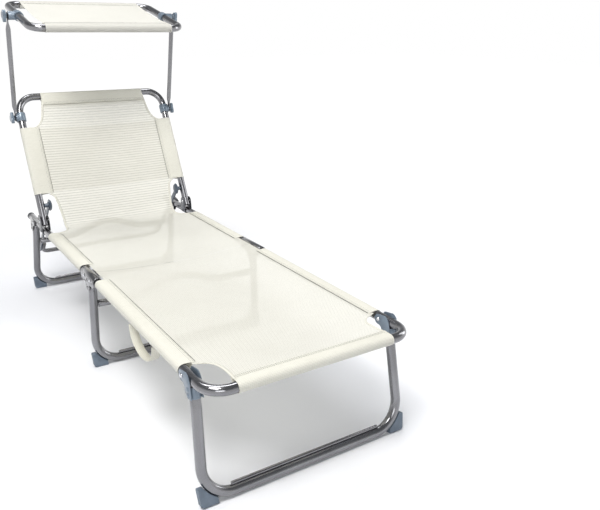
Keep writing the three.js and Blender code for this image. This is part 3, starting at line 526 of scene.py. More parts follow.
def grid_faces(rows, columns, offset=0, closed=False):
    """Four-sided faces over rows of points that follow each other in one list."""
    def corner(row, column):
        return offset + row * columns + column % columns

    last = columns if closed else columns - 1
    return [(corner(r, c), corner(r, c + 1), corner(r + 1, c + 1), corner(r + 1, c))
            for r in range(rows - 1) for c in range(last)]


def route(corners, radii):
    """A polyline through corners with round bends."""
    corners = [np.asarray(c, float) for c in corners]
    out = [corners[0]]
    for before, corner, after, radius in zip(corners, corners[1:], corners[2:], radii):
        into, away = unit(corner - before), unit(after - corner)
        turn = math.acos(max(-1.0, min(1.0, float(into @ away))))
        axis = unit(np.cross(into, away))
        start = corner - into * radius * math.tan(turn / 2)
        centre = start + np.cross(axis, into) * radius
        count = max(2, int(math.ceil(turn / BEND_STEP)))
        for k in range(count + 1):
            spin = np.array(Matrix.Rotation(turn * k / count, 3, Vector(axis)))
            out.append(centre + spin @ (start - centre))
    out.append(corners[-1])
    return out


def tube_stations(line, radius):
    """Centres and radii along a line, with its two end rims rounded."""
    points = [np.asarray(q, float) for q in line]
    first, last = unit(points[1] - points[0]), unit(points[-1] - points[-2])
    part = TUBE_RIM * RIM_SHARE
    rim = [(0.0, TUBE_RIM), (part, part), (TUBE_RIM, 0.0)]
    start = [(points[0] + first * along, radius - inset) for along, inset in rim]
    end = [(points[-1] - last * along, radius - inset) for along, inset in reversed(rim)]
    return start + [(q, radius) for q in points[1:-1]] + end


def tube_parts(line, radius, sides, offset):
    """Rings along a line, as points and faces."""
    stations = tube_stations(line, radius)
    angles = np.linspace(0, 2 * math.pi, sides, endpoint=False)
    side = None
    rings = []
    for k, (centre, ring_radius) in enumerate(stations):
        ahead, behind = stations[min(k + 1, len(stations) - 1)][0], stations[max(k - 1, 0)][0]
        along = unit(ahead - behind)
        if side is None:
            upright = abs(along[2]) >= 0.9
            guess = np.array([0.0, 1.0, 0.0]) if upright else np.array([0.0, 0.0, 1.0])
            side = unit(np.cross(along, guess))
        side = unit(side - along * (side @ along))
        other = np.cross(along, side)
        circle = np.outer(np.cos(angles), side) + np.outer(np.sin(angles), other)
        rings.append(centre + ring_radius * circle)
    faces = grid_faces(len(rings), sides, offset, closed=True)
    last_ring = offset + (len(rings) - 1) * sides
    faces.append(tuple(offset + k for k in reversed(range(sides))))
    faces.append(tuple(last_ring + k for k in range(sides)))
    return np.concatenate(rings), faces


def tubes(name, lines, material, sides=TUBE_SIDES, place=None):
    """One object made of one or more tubes: lines is a list of (points, radius)."""
    all_points, all_faces = [], []
    count = 0
    for line, radius in lines:
        points, faces = tube_parts(line, radius, sides, count)
        all_points.append(points)
        all_faces += faces
        count += len(points)
    points = np.concatenate(all_points)
    if place:
        points = place(points)
    return mesh_object(name, world(points), all_faces, material)


def soften(piece, width, segments=2):
    """Ease the sharp edges of a fitting."""
    ease = piece.modifiers.new("ease", "BEVEL")
    ease.width = width * MM
    ease.segments = segments
    ease.limit_method = "ANGLE"
    ease.angle_limit = math.radians(32)
    ease.harden_normals = True


def keep(piece, body, *replaced, slot):
    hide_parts(*replaced)
    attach(piece, body)


# Camera: lens in the photograph's pixels, turns in radians, place as in the solids, clipping in metres
PHOTO_WIDTH = 600
PHOTO_FOCAL_PIXELS = 675.25
SENSOR = 36
CAMERA_YAW, CAMERA_PITCH, CAMERA_ROLL = 0.5856, 0.3389, -0.0133
CAMERA_PLACE = (-781.6, -1126.1, 1018.9)
CLIP_START, CLIP_END = 0.05, 100


def add_camera():
    """The camera, with the place and turn that put the hinge pins on their pixels in the photograph."""
    level = math.cos(CAMERA_PITCH)
    forward = Vector((math.sin(CAMERA_YAW) * level, math.cos(CAMERA_YAW) * level, -math.sin(CAMERA_PITCH)))
    right = Vector((math.cos(CAMERA_YAW), -math.sin(CAMERA_YAW), 0))
    down = forward.cross(right)
    rolled_right = right * math.cos(CAMERA_ROLL) + down * math.sin(CAMERA_ROLL)
    rolled_down = down * math.cos(CAMERA_ROLL) - right * math.sin(CAMERA_ROLL)
    data = bpy.data.cameras.new("camera")
    data.sensor_width = SENSOR
    data.lens = PHOTO_FOCAL_PIXELS / PHOTO_WIDTH * SENSOR
    data.clip_start, data.clip_end = CLIP_START, CLIP_END
    camera = bpy.data.objects.new("camera", data)
    turn = Matrix((rolled_right, -rolled_down, -forward)).transposed().to_4x4()
    place = world([CAMERA_PLACE])[0]
    camera.matrix_world = Matrix.Translation(Vector(place)) @ turn
    bpy.context.scene.collection.objects.link(camera)
    bpy.context.scene.camera = camera


def area_light(name, place, target, size, power, colour):
    data = bpy.data.lights.new(name, "AREA")
    data.shape = "RECTANGLE"
    data.size, data.size_y = size
    data.energy = power
    data.color = colour
    lamp = bpy.data.objects.new(name, data)
    lamp.location = place
    lamp.rotation_euler = (Vector(target) - Vector(place)).to_track_quat("-Z", "Y").to_euler()
    bpy.context.scene.collection.objects.link(lamp)


def background(t, colour, strength):
    node = t.new("ShaderNodeBackground")
    node.inputs["Color"].default_value = colour
    node.inputs["Strength"].default_value = strength
    return node.outputs[0]


def add_world():
    """A dim studio that shows white to the camera and, low down, in reflections."""
    studio = bpy.data.worlds.new("studio")
    bpy.context.scene.world = studio
    t = Nodes(studio, "ShaderNodeOutputWorld")
    path = t.new("ShaderNodeLightPath")
    split = t.new("ShaderNodeSeparateXYZ")
    t.link(t.new("ShaderNodeTexCoord").outputs["Generated"], split.inputs[0])
    low = t.ramp(split.outputs[2], 0.05, 0.5, 1.0, 0.0, smooth=False)
    seen = t.math("MAXIMUM", path.outputs["Is Camera Ray"], path.outputs["Is Transmission Ray"])
    seen = t.math("MAXIMUM", seen, t.times(path.outputs["Is Glossy Ray"], low))
    dim = background(t, rgb(0.93, 0.96, 1.0), 0.24)
    white = background(t, rgb(1, 1, 1), 1.0)
    t.surface(t.blend(seen, dim, white))


# Lamps in metres of the row frame: name, place, the point it faces, size, watts and colour
WHITE = (1, 1, 1)
LAMPS = (
    ("key", (-1.3, -1.2, 3.2), (0, 0.1, 0.3), (1.3, 1.3), 92, (1.0, 0.985, 0.96)),
    ("top", (0.3, 0.9, 3.4), (0, 0.1, 0.2), (2.4, 1.0), 54, WHITE),
    ("fill", (-1.6, -3.2, 1.3), (0, 0.0, 0.3), (1.6, 1.2), 20, WHITE),
    ("side", (2.8, -0.8, 1.4), (0, 0.0, 0.4), (0.9, 2.0), 18, WHITE),
)


def add_light():
    bpy.context.scene.view_settings.view_transform = "Standard"
    add_world()
    for lamp in LAMPS:
        area_light(*lamp)


# Floor in metres: its half size, and where it fades to white
FLOOR_HALF = 14
FLOOR_GLOW = 0.05
FLOOR_FADE = (0.95, 1.9)
FLOOR_FADE_STRETCH = (1.45, 1.0, 1.0)


def add_floor():
    """A pale floor that keeps the shadow round the object and fades to white away from it."""
    material, t = material_nodes("studio_floor")
    patch = t.ramp(t.noise(0.8), 0.3, 0.7)
    shader = t.new("ShaderNodeBsdfDiffuse")
    t.link(t.mix(patch, rgb(0.84, 0.85, 0.885), rgb(0.86, 0.87, 0.90)), shader.inputs["Color"])
    path = t.new("ShaderNodeLightPath")
    seen = t.math("MAXIMUM", path.outputs["Is Camera Ray"], path.outputs["Is Transmission Ray"])
    seen = t.math("MAXIMUM", seen, path.outputs["Is Glossy Ray"])
    place = t.stretched(t.new("ShaderNodeTexCoord").outputs["Object"], FLOOR_FADE_STRETCH)
    length = t.new("ShaderNodeVectorMath", operation="LENGTH")
    t.link(place, length.inputs[0])
    far = t.times(seen, t.ramp(length.outputs["Value"], *FLOOR_FADE))
    glow = t.new("ShaderNodeEmission")
    glow.inputs["Color"].default_value = rgb(1, 1, 1)
    t.link(t.plus(t.times(seen, FLOOR_GLOW), far), glow.inputs["Strength"])
    dimmed = t.new("ShaderNodeMixShader")
    t.link(far, dimmed.inputs[0])
    t.link(shader.outputs[0], dimmed.inputs[1])
    both = t.new("ShaderNodeAddShader")
    t.link(dimmed.outputs[0], both.inputs[0])
    t.link(glow.outputs[0], both.inputs[1])
    t.surface(both.outputs[0])
    half = FLOOR_HALF
    corners = [(-half, -half, 0), (half, -half, 0), (half, half, 0), (-half, half, 0)]
    mesh_object("floor", corners, [(0, 1, 2, 3)], material)


# Tubes and foot caps

def leg_lines(top):
    """The bent tube of a leg and the rod welded on its bottom bar."""
    knee = top - LEG_KNEE_DROP
    corners = [(-RAIL_X, 0, top), (-RAIL_X, 0, knee), (-LEG_FOOT_X, 0, 0),
               (LEG_FOOT_X, 0, 0), (RAIL_X, 0, knee), (RAIL_X, 0, top)]
    height = TUBE_RADIUS + ROD_RADIUS - ROD_SINK
    half = LEG_FOOT_X - LEG_BEND + ROD_RADIUS
    bent = route(corners, [LEG_KNEE_BEND, LEG_BEND, LEG_BEND, LEG_KNEE_BEND])
    return [(bent, TUBE_RADIUS), ([(-half, 0, height), (half, 0, height)], ROD_RADIUS)]


def bar_height(lean):
    """Where a leaning leg has its bottom bar when its caps just touch the floor."""
    return LEG_BAR_HEIGHT * math.cos(lean) + CAP_HALF_THICKNESS * math.sin(lean)


def crossbar_lines(height, hump, top):
    knee = top - LEG_KNEE_DROP
    half = LEG_FOOT_X + (RAIL_X - LEG_FOOT_X) * height / knee - TUBE_RADIUS - CROSSBAR_FIT
    shares = np.linspace(-1, 1, HUMP_POINTS)
    humped = [(share * HUMP_HALF_WIDTH, 0, height + hump * (1 + math.cos(math.pi * share)) / 2)
              for share in shares]
    return [([(-half, 0, height)] + humped + [(half, 0, height)], CROSSBAR_RADIUS)]


def cap_outline():
    """The wedge of a right hand foot cap: flat below, a small outer corner, and a round cradle above."""
    bend_x = LEG_FOOT_X - LEG_BEND
    floor = -LEG_BAR_HEIGHT
    outer = LEG_FOOT_X + TUBE_RADIUS
    cradle = LEG_BEND + CAP_CRADLE
    start = outer - CAP_REACH
    top = floor + CAP_REACH
    corner_x = outer - CAP_DRAFT - CAP_CORNER
    low = math.asin((start - bend_x) / cradle)
    high = math.acos((LEG_BEND - top) / cradle)
    outline = [(start, floor), (corner_x, floor)]
    outline += [(corner_x + CAP_CORNER * math.sin(a), floor + CAP_CORNER - CAP_CORNER * math.cos(a))
                for a in np.radians(np.linspace(9, 88, 8))]
    outline += [(outer, top - CAP_LIP_DROP), (outer - CAP_LIP_INSET, top)]
    outline += [(bend_x + cradle * math.sin(a), LEG_BEND - cradle * math.cos(a))
                for a in np.linspace(high, low, 14)]
    return outline


def foot_cap(name, side, sign, body, place):
    """A moulded wedge that fills the bend down to the floor, a hair clear of the tube it cradles."""
    outline = cap_outline()
    half = CAP_HALF_THICKNESS
    points = [(sign * x, -half, z) for x, z in outline] + [(sign * x, half, z) for x, z in outline]
    count = len(outline)
    faces = [tuple(range(count)), tuple(range(2 * count - 1, count - 1, -1))]
    faces += [(k, k + count, (k + 1) % count + count, (k + 1) % count) for k in range(count)]
    faces = [face[::-1] for face in faces] if sign < 0 else faces
    piece = mesh_object(f"{name}_cap_{side}", world(place(points)), faces, plastic)
    soften(piece, CAP_EDGE, segments=3)
    keep(piece, body, f"{name}_leg_cap_{side}", slot="moulding")


def keep_tube(name, lines, body, replaced, place=None):
    keep(tubes(name, lines, steel, place=place), body, replaced, slot="tube_steel")


def add_leg(name, top, place):
    body = f"{name}_leg"
    keep_tube(f"{name}_leg_tube", leg_lines(top), body, f"{name}_leg_frame", place)
    for side, sign in SIDES:
        foot_cap(name, side, sign, body, place)


def add_crossbar(name, height, hump, top, place):
    lines = crossbar_lines(height, hump, top)
    keep_tube(f"{name}_crossbar_tube", lines, f"{name}_leg", f"{name}_leg_crossbar", place)


def end_leg(name, y, lean, toward):
    """A leg that leans out under an end of the lounger, toward +1 or -1 along Y."""
    drop = LEG_OFFSET * math.tan(lean) + TUBE_RADIUS / math.cos(lean) + TUBE_RADIUS * math.tan(lean) + LEG_GAP
    along = (RAIL_Z - bar_height(lean)) / math.cos(lean) + LEG_OFFSET * math.tan(lean)
    top = along - drop

    def place(points):
        return turned(points, -toward * lean, y, bar_height(lean))

    add_leg(name, top, place)
    return top, place


def add_end_legs():
    end_leg("foot", 0.0, FOOT_LEAN, 1)
    top, place = end_leg("head", HEAD_LEG_Y, HEAD_LEAN, -1)
    height = (CROSSBAR_HEIGHT - bar_height(HEAD_LEAN)) / math.cos(HEAD_LEAN)
    add_crossbar("head", height, HEAD_HUMP, top, place)


def add_mid_leg():
    def upright(points):
        return turned(points, 0.0, FOLD_Y, LEG_BAR_HEIGHT)

    top = RAIL_Z - LEG_BAR_HEIGHT - LEG_GAP
    add_leg("mid", top, upright)
    add_crossbar("mid", CROSSBAR_HEIGHT - LEG_BAR_HEIGHT, MID_HUMP, top, upright)


def add_foot_frame():
    front = [(-RAIL_X, FOOT_PIVOT_Y, RAIL_Z), (-RAIL_X, FRONT_Y, RAIL_Z),
             (RAIL_X, FRONT_Y, RAIL_Z), (RAIL_X, FOOT_PIVOT_Y, RAIL_Z)]
    bent = route(front, [FRONT_BEND] * 2)
    keep_tube("foot_frame_tube", [(bent, TUBE_RADIUS)], "foot_section", "foot_frame")


def add_seat_rails():
    for side, sign in SIDES:
        x = sign * RAIL_X
        rail = [(x, SEAT_PIVOT_Y, RAIL_Z), (x, RAIL_END, RAIL_Z)]
        keep_tube(f"seat_rail_tube_{side}", [(rail, TUBE_RADIUS)], "seat", f"seat_rail_{side}")


def add_backrest_frame():
    x = RAIL_X
    back = [(-x, BACK_START, 0), (-x, BACK_LENGTH, 0), (x, BACK_LENGTH, 0), (x, BACK_START, 0)]
    bent = route(back, [BACK_BEND] * 2)
    keep_tube("backrest_tube", [(bent, TUBE_RADIUS)], "backrest", "backrest_frame", on_back)


def add_canopy_frame():
    x, y = CANOPY_X, CANOPY_DEPTH
    ring = [(CANOPY_JOINT, y, 0), (x, y, 0), (x, 0, 0), (-x, 0, 0), (-x, y, 0), (-CANOPY_JOINT, y, 0)]
    bent = route(ring, [CANOPY_BEND] * 4)
    keep_tube("canopy_tube", [(bent, TUBE_RADIUS)], "canopy", "canopy_frame", on_canopy)


# Fittings carried over from the solids: material, how far the edges are eased, and names
FITTINGS = (
    (saddle_metal, 0.35, ("saddle",)),
    (saddle_metal, 0.3, ("head_leg_bracket",)),
    (bracket, 0.3, ("foot_leg_bracket",)),
    (dark_metal, 0.3, ("back_bracket",)),
    (dark_coat, 0.3, ("hoop_arm", "hoop_knob")),
    (bracket, 0.7, ("lower_clamp", "upper_clamp")),
    (bracket, 0.8, ("lower_wing_nut", "upper_wing_knob")),
    (dark_plastic, 0.3, ("rail_plug",)),
    (bright, 0.25, ("foot_leg_pivot", "head_leg_pivot", "seat_fold_pivot", "foot_fold_pivot", "back_pivot")),
    (bright, 0.25, ("lower_screw",)),
    (steel, 0.2, ("canopy_strut",)),
)
HOOP_BAR_EDGE = 0.2
WELD_DISTANCE = 0.02


def dress(name, material, edge):
    """A fitting keeps its solid's shape; its edges are eased and its rounds are shaded smooth."""
    piece = nodes[name]
    piece.data.materials.clear()
    piece.data.materials.append(material)
    piece.data.polygons.foreach_set("use_smooth", [True] * len(piece.data.polygons))
    weld = piece.modifiers.new("weld", "WELD")
    weld.merge_threshold = WELD_DISTANCE * MM
    soften(piece, edge)


def add_fittings():
    for side, _ in SIDES:
        for material, edge, names in FITTINGS:
            for name in names:
                dress(f"{name}_{side}", material, edge)
    dress("hoop_bar", steel, HOOP_BAR_EDGE)


# Cloth surface: one sheet from the front bar over the rails, round the hinge and up the backrest

def smooth_step(share):
    return share * share * (3 - 2 * share)


def seat_height(x, y):
    """Height of the seat and foot cloth over the rails' centre line."""
    spread = smooth_step(np.clip((y - FRONT_Y) / SAG_FRONT_RUN, 0, 1))
    return CLOTH_TOP - SAG * (1 - np.clip(np.abs(x) / RAIL_X, 0, 1) ** 2) * spread


# The free cloth between the seat and the backrest hangs in a smooth bend, a cubic curve in the YZ plane
BEND_SEAT_Y = 1225.0
BEND_BACK_T = 60.0
BEND_PULL_SHARE = 0.85
BEND_POINTS = 61
MEET_SHARE = 0.42


def bend_curve():
    """Points, directions and distances along the bend."""
    cosine, sine = math.cos(BACK_ANGLE), math.sin(BACK_ANGLE)
    start = np.array([BEND_SEAT_Y, RAIL_Z])
    end = np.array([BACK_Y + BEND_BACK_T * cosine, BACK_Z + BEND_BACK_T * sine])
    corner_t = (RAIL_Z - BACK_Z) / sine
    corner = np.array([BACK_Y + corner_t * cosine, RAIL_Z])
    first = start + BEND_PULL_SHARE * (corner - start)
    second = end + BEND_PULL_SHARE * (corner - end)
    k = np.linspace(0, 1, BEND_POINTS)[:, None]
    m = 1 - k
    line = m ** 3 * start + 3 * m ** 2 * k * first + 3 * m * k * k * second + k ** 3 * end
    slope = 3 * m ** 2 * (first - start) + 6 * m * k * (second - first) + 3 * k * k * (end - second)
    slope /= np.linalg.norm(slope, axis=1)[:, None]
    return line, slope, reach_along(line)


BEND_LINE, BEND_SLOPE, BEND_REACH = bend_curve()
BEND_LENGTH = BEND_REACH[-1]
MEET_S = BEND_SEAT_Y + BEND_LENGTH * MEET_SHARE


def body_surface(x, s):
    """s runs along the cloth: seat places up to the bend, then the bend, then up the backrest."""
    x, s = np.asarray(x, float), np.asarray(s, float)
    along = np.clip(s - BEND_SEAT_Y, 0, BEND_LENGTH)
    y, z = (np.interp(along, BEND_REACH, BEND_LINE[:, k]) for k in (0, 1))
    slope_y, slope_z = (np.interp(along, BEND_REACH, BEND_SLOPE[:, k]) for k in (0, 1))
    before = np.minimum(s - BEND_SEAT_Y, 0)
    beyond = np.maximum(s - BEND_SEAT_Y - BEND_LENGTH, 0)
    y = y + (before + beyond) * slope_y
    z = z + (before + beyond) * slope_z
    near_top = smooth_step(np.clip((BACK_LENGTH - BEND_BACK_T - beyond) / SAG_TOP_RUN, 0, 1))
    sag = SAG * (1 - np.clip(np.abs(x) / RAIL_X, 0, 1) ** 2) * near_top
    height = np.where(s < BEND_SEAT_Y, seat_height(x, s), CLOTH_TOP - sag)
    return np.stack([x, y - slope_z * height, z + slope_y * height], 1)


def back_s(t):
    """The place along the cloth of a place t up the backrest."""
    return BEND_SEAT_Y + BEND_LENGTH + (t - BEND_BACK_T)


# Half width of the cloth as (place along it, half width): cut in at its corners, wider beside the saddles
SEAT_EDGE = (
    (-45, 208.5), (FRONT_Y, 208.5), (-9, 207), (27, 206), (50, 207.5), (64, 211), (75, 219), (81, 229),
    (84, 240), (88, 250), (90, 253), (672, 253), (676, 256.6), (820, 256.6), (824, 253), (1184, 253),
    (1190, 249), (1197, 239), (1205, 226), (1216, 215), (1240, 208))
# The same up the backrest, with places from its hinge
BACK_EDGE = (
    (30, 208), (56, 211), (80, 214), (100, 217.5), (112, 221), (118, 227), (122, 236), (125, 231), (368, 231),
    (372, 236), (376, 227), (384, 217), (396, 209), (412, 203), (431, 199), (458, 194), (475, 191),
    (BACK_LENGTH, 190.5), (505, 190.5))
PLACES = np.array([place for place, _ in SEAT_EDGE] + [back_s(place) for place, _ in BACK_EDGE])
HALF_WIDTHS = np.array([half for _, half in SEAT_EDGE + BACK_EDGE])
CLOTH_END = back_s(BACK_LENGTH)
DOUBLED_BANDS = [(back_s(low), back_s(high)) for low, high in DOUBLED_T]

back_weave = woven("back_mesh", CREAM, CREAM_SHADE, bands=DOUBLED_BANDS, bands_half=DOUBLED_HALF,
                   rib_depth=0.6, plain_below=back_s(BEND_BACK_T))


def cloth_half(s):
    return np.interp(s, PLACES, HALF_WIDTHS)


def cloth_rows(low, high, step):
    """Places along the cloth at an even step, and those where its edge turns."""
    rows = set(np.linspace(low, high, int(round((high - low) / step)) + 1))
    rows.update(place for place in PLACES if low < place < high)
    return np.array(sorted(rows))


def cloth_between(name, low, high, material):
    """A panel of the cloth between two places along it."""
    rows = cloth_rows(low, high, ROW_STEP)
    shares = np.linspace(-1, 1, PANEL_COLUMNS)
    x = np.outer(cloth_half(rows), shares).ravel()
    s = np.repeat(rows, PANEL_COLUMNS)
    faces = grid_faces(len(rows), PANEL_COLUMNS)
    return mesh_object(name, world(body_surface(x, s)), faces, material, uv=np.stack([x, s], 1) * MM)


def hem(name, low, high, sign):
    """A narrow band that lies on the cloth and rolls over its free edge."""
    rows = cloth_rows(low, high, HEM_STEP)
    points, uv = [], []
    for s, edge in zip(rows, cloth_half(rows)):
        for across, lift in HEM_SECTION:
            x = sign * (edge + across)
            here, ahead = body_surface([x, x], [s, s + HEM_LOOK_AHEAD])
            normal = unit(np.cross([1.0, 0, 0], ahead - here))
            points.append(here + normal * lift)
            uv.append((across * MM, s * MM))
    return mesh_object(name, world(points), grid_faces(len(rows), len(HEM_SECTION)), sleeve_weave, uv=uv)


# Sleeves, seams and bar ends

def drawn_cloth(name, section, places, place, material, across=False, dip=0.0):
    """Cloth with a section drawn along a tube, or across from side to side; dip lowers its middle."""
    section = np.asarray(section, float)
    lengths = reach_along(section)
    points, uv = [], []
    for at in places:
        here = np.full(len(section), at)
        height = section[:, 1] - dip * (1 - (at / places[-1]) ** 2)
        points.append(np.stack([here, section[:, 0], height] if across else [section[:, 0], here, height], 1))
        uv.append(np.stack([here, lengths] if across else [lengths, here], 1) * MM)
    points = world(place(np.concatenate(points)))
    return mesh_object(name, points, grid_faces(len(places), len(section)), material, uv=np.concatenate(uv))


def between(start, end, shares, power=1.0):
    """Points from one to another; the second value follows a power of the share."""
    return [(start[0] + (end[0] - start[0]) * share, start[1] + (end[1] - start[1]) * share ** power)
            for share in shares]


def stitches(name, line, normal):
    """Short raised threads in a row along a line."""
    line = np.asarray(line, float)
    reach = reach_along(line)
    points, faces = [], []
    for start in np.arange(STITCH_PITCH / 2, reach[-1] - STITCH_LENGTH, STITCH_PITCH):
        first, last = (np.array([np.interp(at, reach, line[:, k]) for k in range(3)])
                       for at in (start, start + STITCH_LENGTH))
        side = np.cross(normal, unit(last - first)) * STITCH_HALF
        sunk, crown = normal * STITCH_SINK, normal * STITCH_RISE
        centre = (first + last) / 2
        base = len(points)
        points += [first - sunk, centre - side, last - sunk, centre + side, centre + crown]
        faces += [(base + k, base + (k + 1) % 4, base + 4) for k in range(4)]
    return mesh_object(name, world(points), faces, thread)


def panel_top(x):
    """Height of the cloth beside a sleeve, over the tube's centre line."""
    return CLOTH_TOP - SAG * (1 - (abs(x) / RAIL_X) ** 2)


def sleeve_section(seam_x, sign):
    """Round the tube and back: from the lip on the panel, over, outside and under, to the seam."""
    top = []
    for share in np.linspace(0, 1, 9):
        x = seam_x + (RAIL_X - seam_x) * share
        base = panel_top(x) + SLEEVE_LIFT
        top.append((x, base + (WRAP_RADIUS - base) * share ** 1.5))
    lip = [(seam_x - inset, top[0][1] - drop) for inset, drop in SLEEVE_LIP]
    around = [(RAIL_X + WRAP_RADIUS * math.cos(a), WRAP_RADIUS * math.sin(a))
              for a in np.radians(np.linspace(82, -118, 24))]
    end = (seam_x + SEAM_INSET, panel_top(seam_x) - SLEEVE_END_DROP)
    under = between(around[-1], end, np.linspace(0.12, 1, 8), power=0.8)
    return [(sign * x, z) for x, z in lip + top + around + under]


def side_sleeve(part, side, sign, reach, seam_x, place):
    low, high = reach
    places = np.linspace(low, high, int((high - low) / SLEEVE_STEP) + 2)
    return drawn_cloth(f"{part}_sleeve_{side}", sleeve_section(seam_x, sign), places, place, sleeve_weave)


def side_seams(part, side, sign, reach, seam_x, place):
    """Two rows of stitches through a side sleeve, with a thin dark cord between them in the list: a painted
    shadow line along the edge of the sleeve's lip.
    """
    low, high = reach[0] + STITCH_INSET, reach[1] - STITCH_INSET
    rows = []
    for ending, inset in (("", SEAM_INSET), ("_outer", OUTER_SEAM_INSET)):
        x = seam_x + inset
        line = place([[sign * x, at, panel_top(x) + SEAM_LIFT] for at in np.linspace(low, high, SEAM_POINTS)])
        rows.append(stitches(f"{part}_stitch{ending}_{side}", line, up_from(place)))
    # A thin dark cord at the lip's edge: a painted shadow line where the lip shades the panel, not a part of
    # the cloth
    height = panel_top(seam_x + SEAM_INSET) + LIP_LIFT
    edge = [(sign * (seam_x - LIP_INSET), at, height) for at in np.linspace(low, high, LIP_POINTS)]
    lip = tubes(f"{part}_lip_shadow_line_{side}", [(edge, LIP_RADIUS)], thread, sides=CORD_SIDES, place=place)
    return [rows[0], lip, rows[1]]


def trim(part, reach, seam_x, place, hems):
    """The sleeves, hems and seams along both sides of one part of the cloth."""
    pieces = []
    for side, sign in SIDES:
        pieces.append(side_sleeve(part, side, sign, reach, seam_x, place))
        pieces += [hem(f"{name}_{side}", low, high, sign) for name, low, high in hems]
        pieces += side_seams(part, side, sign, reach, seam_x, place)
    return pieces


def bar_sleeve(name, half, bar_at, inward, place, reach, material):
    """The cloth's end goes round a cross bar and is sewn down on itself; inward is +1 or -1."""
    lip = bar_at + inward * reach
    section = [(lip - inward * inset, CLOTH_TOP + rise) for inset, rise in BAR_LIP]
    section += [(bar_at + inward * reach * share, WRAP_RADIUS + BAR_RISE * share) for share in BAR_TOP_SHARES]
    section += [(bar_at + inward * WRAP_RADIUS * math.cos(a), WRAP_RADIUS * math.sin(a))
                for a in np.radians(np.linspace(90, 300, 28))]
    end = (lip + inward * BAR_END_INSET, CLOTH_TOP - BAR_END_DROP)
    section += between(section[-1], end, np.linspace(0.15, 1, 7))
    columns = np.linspace(-half, half, BAR_COLUMNS)
    pieces = [drawn_cloth(name, section, columns, place, material, across=True)]
    seam_half = half - STITCH_INSET
    for k, inset in enumerate((SEAM_INSET, OUTER_SEAM_INSET)):
        y, z = lip - inward * inset, CLOTH_TOP + BAR_SEAM_LIFT
        line = place([[x, y, z] for x in np.linspace(-seam_half, seam_half, BAR_SEAM_POINTS)])
        pieces.append(stitches(f"{name}_stitch_{k}", line, up_from(place)))
    return pieces


def foot_trim():
    hems = [("foot_corner_hem", FRONT_Y + FRONT_HEM_INSET, FOOT_HEM_END)]
    front = bar_sleeve("front_sleeve", FRONT_SLEEVE_HALF, FRONT_Y, 1, on_rail, BAR_SLEEVE_REACH, sleeve_weave)
    return trim("foot", FOOT_SLEEVE, SEAM_X, on_rail, hems) + front


def seat_trim():
    return trim("seat", SEAT_SLEEVE, SEAM_X, on_rail, [("hinge_hem_low", HINGE_HEM_START, MEET_S)])


def back_trim():
    hems = [("hinge_hem_high", MEET_S, back_s(HINGE_HEM_END_T)),
            ("top_corner_hem", back_s(BACK_SLEEVE[1]), back_s(BACK_LENGTH - TOP_HEM_INSET))]
    top = bar_sleeve("top_sleeve", TOP_SLEEVE_HALF, BACK_LENGTH, -1, on_back, TOP_SLEEVE_REACH, top_weave)
    return trim("back", BACK_SLEEVE, BACK_SEAM_X, on_back, hems) + top


def middle(s):
    """The middle of the cloth at a place along it, in metres."""
    return tuple(world(body_surface([0.0], [s]))[0])


def blend_cloth(foot, seat_front, seat_rear, back):
    """Bakes each cloth panel's and hinge hem's place into its mesh; the cloth's middle at the fold and at the
    hinge is worked out but not used.
    """
    middle(FOLD_Y - FOLD_RUN)
    middle(FOLD_Y - FOLD_CLEAR)
    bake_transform(foot)
    middle(FOLD_Y + FOLD_CLEAR)
    middle(FOLD_Y + FOLD_RUN)
    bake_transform(seat_front)
    low_hems, high_hems = ([bpy.data.objects[f"hinge_hem_{level}_{side}"] for side, _ in SIDES]
                           for level in ("low", "high"))
    for piece in [seat_rear] + low_hems:
        middle(HINGE_BLEND_Y)
        middle(MEET_S)
        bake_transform(piece)
    for piece in [back] + high_hems:
        middle(MEET_S)
        middle(back_s(HINGE_BLEND_T))
        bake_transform(piece)


def add_body_cloth():
    foot = cloth_between("foot_cloth", FRONT_Y, FOLD_Y - FOLD_SLIT, seat_weave)
    seat_front = cloth_between("seat_cloth_front", FOLD_Y + FOLD_SLIT, SPLIT_S, seat_weave)
    seat_rear = cloth_between("seat_cloth_rear", SPLIT_S, MEET_S, seat_weave)
    back = cloth_between("backrest_cloth", MEET_S, CLOTH_END, back_weave)
    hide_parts("foot_fabric")
    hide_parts("seat_fabric")
    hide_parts("backrest_fabric")
    of_foot, of_seat, of_back = foot_trim(), seat_trim(), back_trim()
    for pieces, body in ((of_foot, "foot_section"), (of_seat, "seat"), (of_back, "backrest")):
        for piece in pieces:
            if not piece.name.startswith("hinge_hem"):
                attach(piece, body)
    blend_cloth(foot, seat_front, seat_rear, back)


# Canopy cloth

def canopy_height(y):
    share = y / CANOPY_DEPTH
    return WRAP_RADIUS - CANOPY_SAG * 4 * share * (1 - share)


def canopy_section():
    """From under the cloth round the rear bar, over the sag, round the front bar and back under the cloth."""
    front = [(-WRAP_RADIUS * math.sin(a), WRAP_RADIUS * math.cos(a))
             for a in np.radians(np.linspace(0, 205, 26))]
    sewn = (CANOPY_TURN_IN, canopy_height(CANOPY_TURN_IN) - CANOPY_LAYER)
    front += between(sewn, front[-1], np.linspace(0.85, 0, 6))
    rear = [(CANOPY_DEPTH - y, z) for y, z in reversed(front)]
    places = CANOPY_DEPTH * np.linspace(0.97, 0.03, 42)
    return np.array(rear + [(y, canopy_height(y)) for y in places] + front)


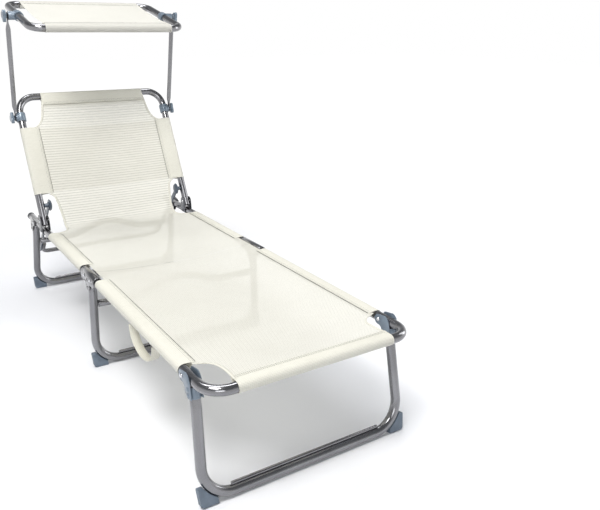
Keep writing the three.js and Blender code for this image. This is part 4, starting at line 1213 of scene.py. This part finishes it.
def canopy_trim():
    """Rows of stitches beside both bars and a thin cord in both side edges."""
    pieces = []
    half = CANOPY_CLOTH_HALF
    seams = CANOPY_SEAMS + tuple(CANOPY_DEPTH - y for y in CANOPY_SEAMS)
    for k, y in enumerate(seams):
        z = canopy_height(y) + CANOPY_SEAM_LIFT
        line = [[x, y, z] for x in np.linspace(SEAM_INSET - half, half - SEAM_INSET, BAR_SEAM_POINTS)]
        pieces.append(stitches(f"canopy_stitch_{k}", on_canopy(line), up_from(on_canopy)))
    places = np.linspace(CANOPY_EDGE_START, CANOPY_DEPTH - CANOPY_EDGE_START, 40)
    for side, sign in SIDES:
        edge = [(sign * (half - CANOPY_EDGE_INSET), y, canopy_height(y) + CANOPY_EDGE_LIFT) for y in places]
        cord = [(edge, CANOPY_EDGE_RADIUS)]
        pieces.append(tubes(f"canopy_edge_{side}", cord, sleeve_weave, sides=CORD_SIDES, place=on_canopy))
    return pieces


def add_canopy_cloth():
    section = canopy_section()
    from_bar = np.minimum(section[:, 0], CANOPY_DEPTH - section[:, 0]) - CANOPY_DIP_START
    dip = CANOPY_DIP * np.clip(from_bar / CANOPY_DIP_RUN, 0, 1)
    half = CANOPY_CLOTH_HALF
    columns = np.linspace(-half, half, CANOPY_COLUMNS)
    cloth = drawn_cloth("canopy_cloth", section, columns, on_canopy, canopy_weave, across=True, dip=dip)
    pieces = canopy_trim()
    for piece in pieces:
        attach(piece, "canopy")
    keep(cloth, "canopy", "canopy_fabric", slot="textilene")
    flat = (2 * half * MM, float(reach_along(section)[-1]) * MM)


def add_strap():
    """A loop of webbing hung from the left foot rail, with its ends sewn to the sleeve."""
    top = RAIL_Z - WRAP_RADIUS - STRAP_LIFT
    line = np.array([(STRAP_Y - STRAP_REACH * math.cos(a), top - STRAP_DROP * math.sin(a) ** 0.85)
                     for a in np.linspace(0, math.pi, 41)])
    lengths = reach_along(line)
    count = len(STRAP_SECTION)
    points, uv = [], []
    for k, (y, z) in enumerate(line):
        slope = unit(line[min(k + 1, len(line) - 1)] - line[max(k - 1, 0)])
        for across, lift in STRAP_SECTION:
            points.append((-RAIL_X + across, y - slope[1] * lift, z + slope[0] * lift))
            uv.append((across * MM, lengths[k] * MM))
    faces = grid_faces(len(line), count, closed=True)
    faces += [tuple(range(count)), tuple(range(len(points) - count, len(points)))]
    strap = mesh_object("hand_strap", world(points), faces, webbing, uv=uv)
    keep(strap, "foot_section", "carry_strap", slot="webbing")
    anchor = tuple(world([[-RAIL_X, STRAP_Y, top]])[0])
    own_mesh(strap)


add_camera()
add_light()
add_floor()
add_foot_frame()
add_seat_rails()
add_end_legs()
add_mid_leg()
add_backrest_frame()
add_canopy_frame()
add_fittings()
add_body_cloth()
add_canopy_cloth()
add_strap()
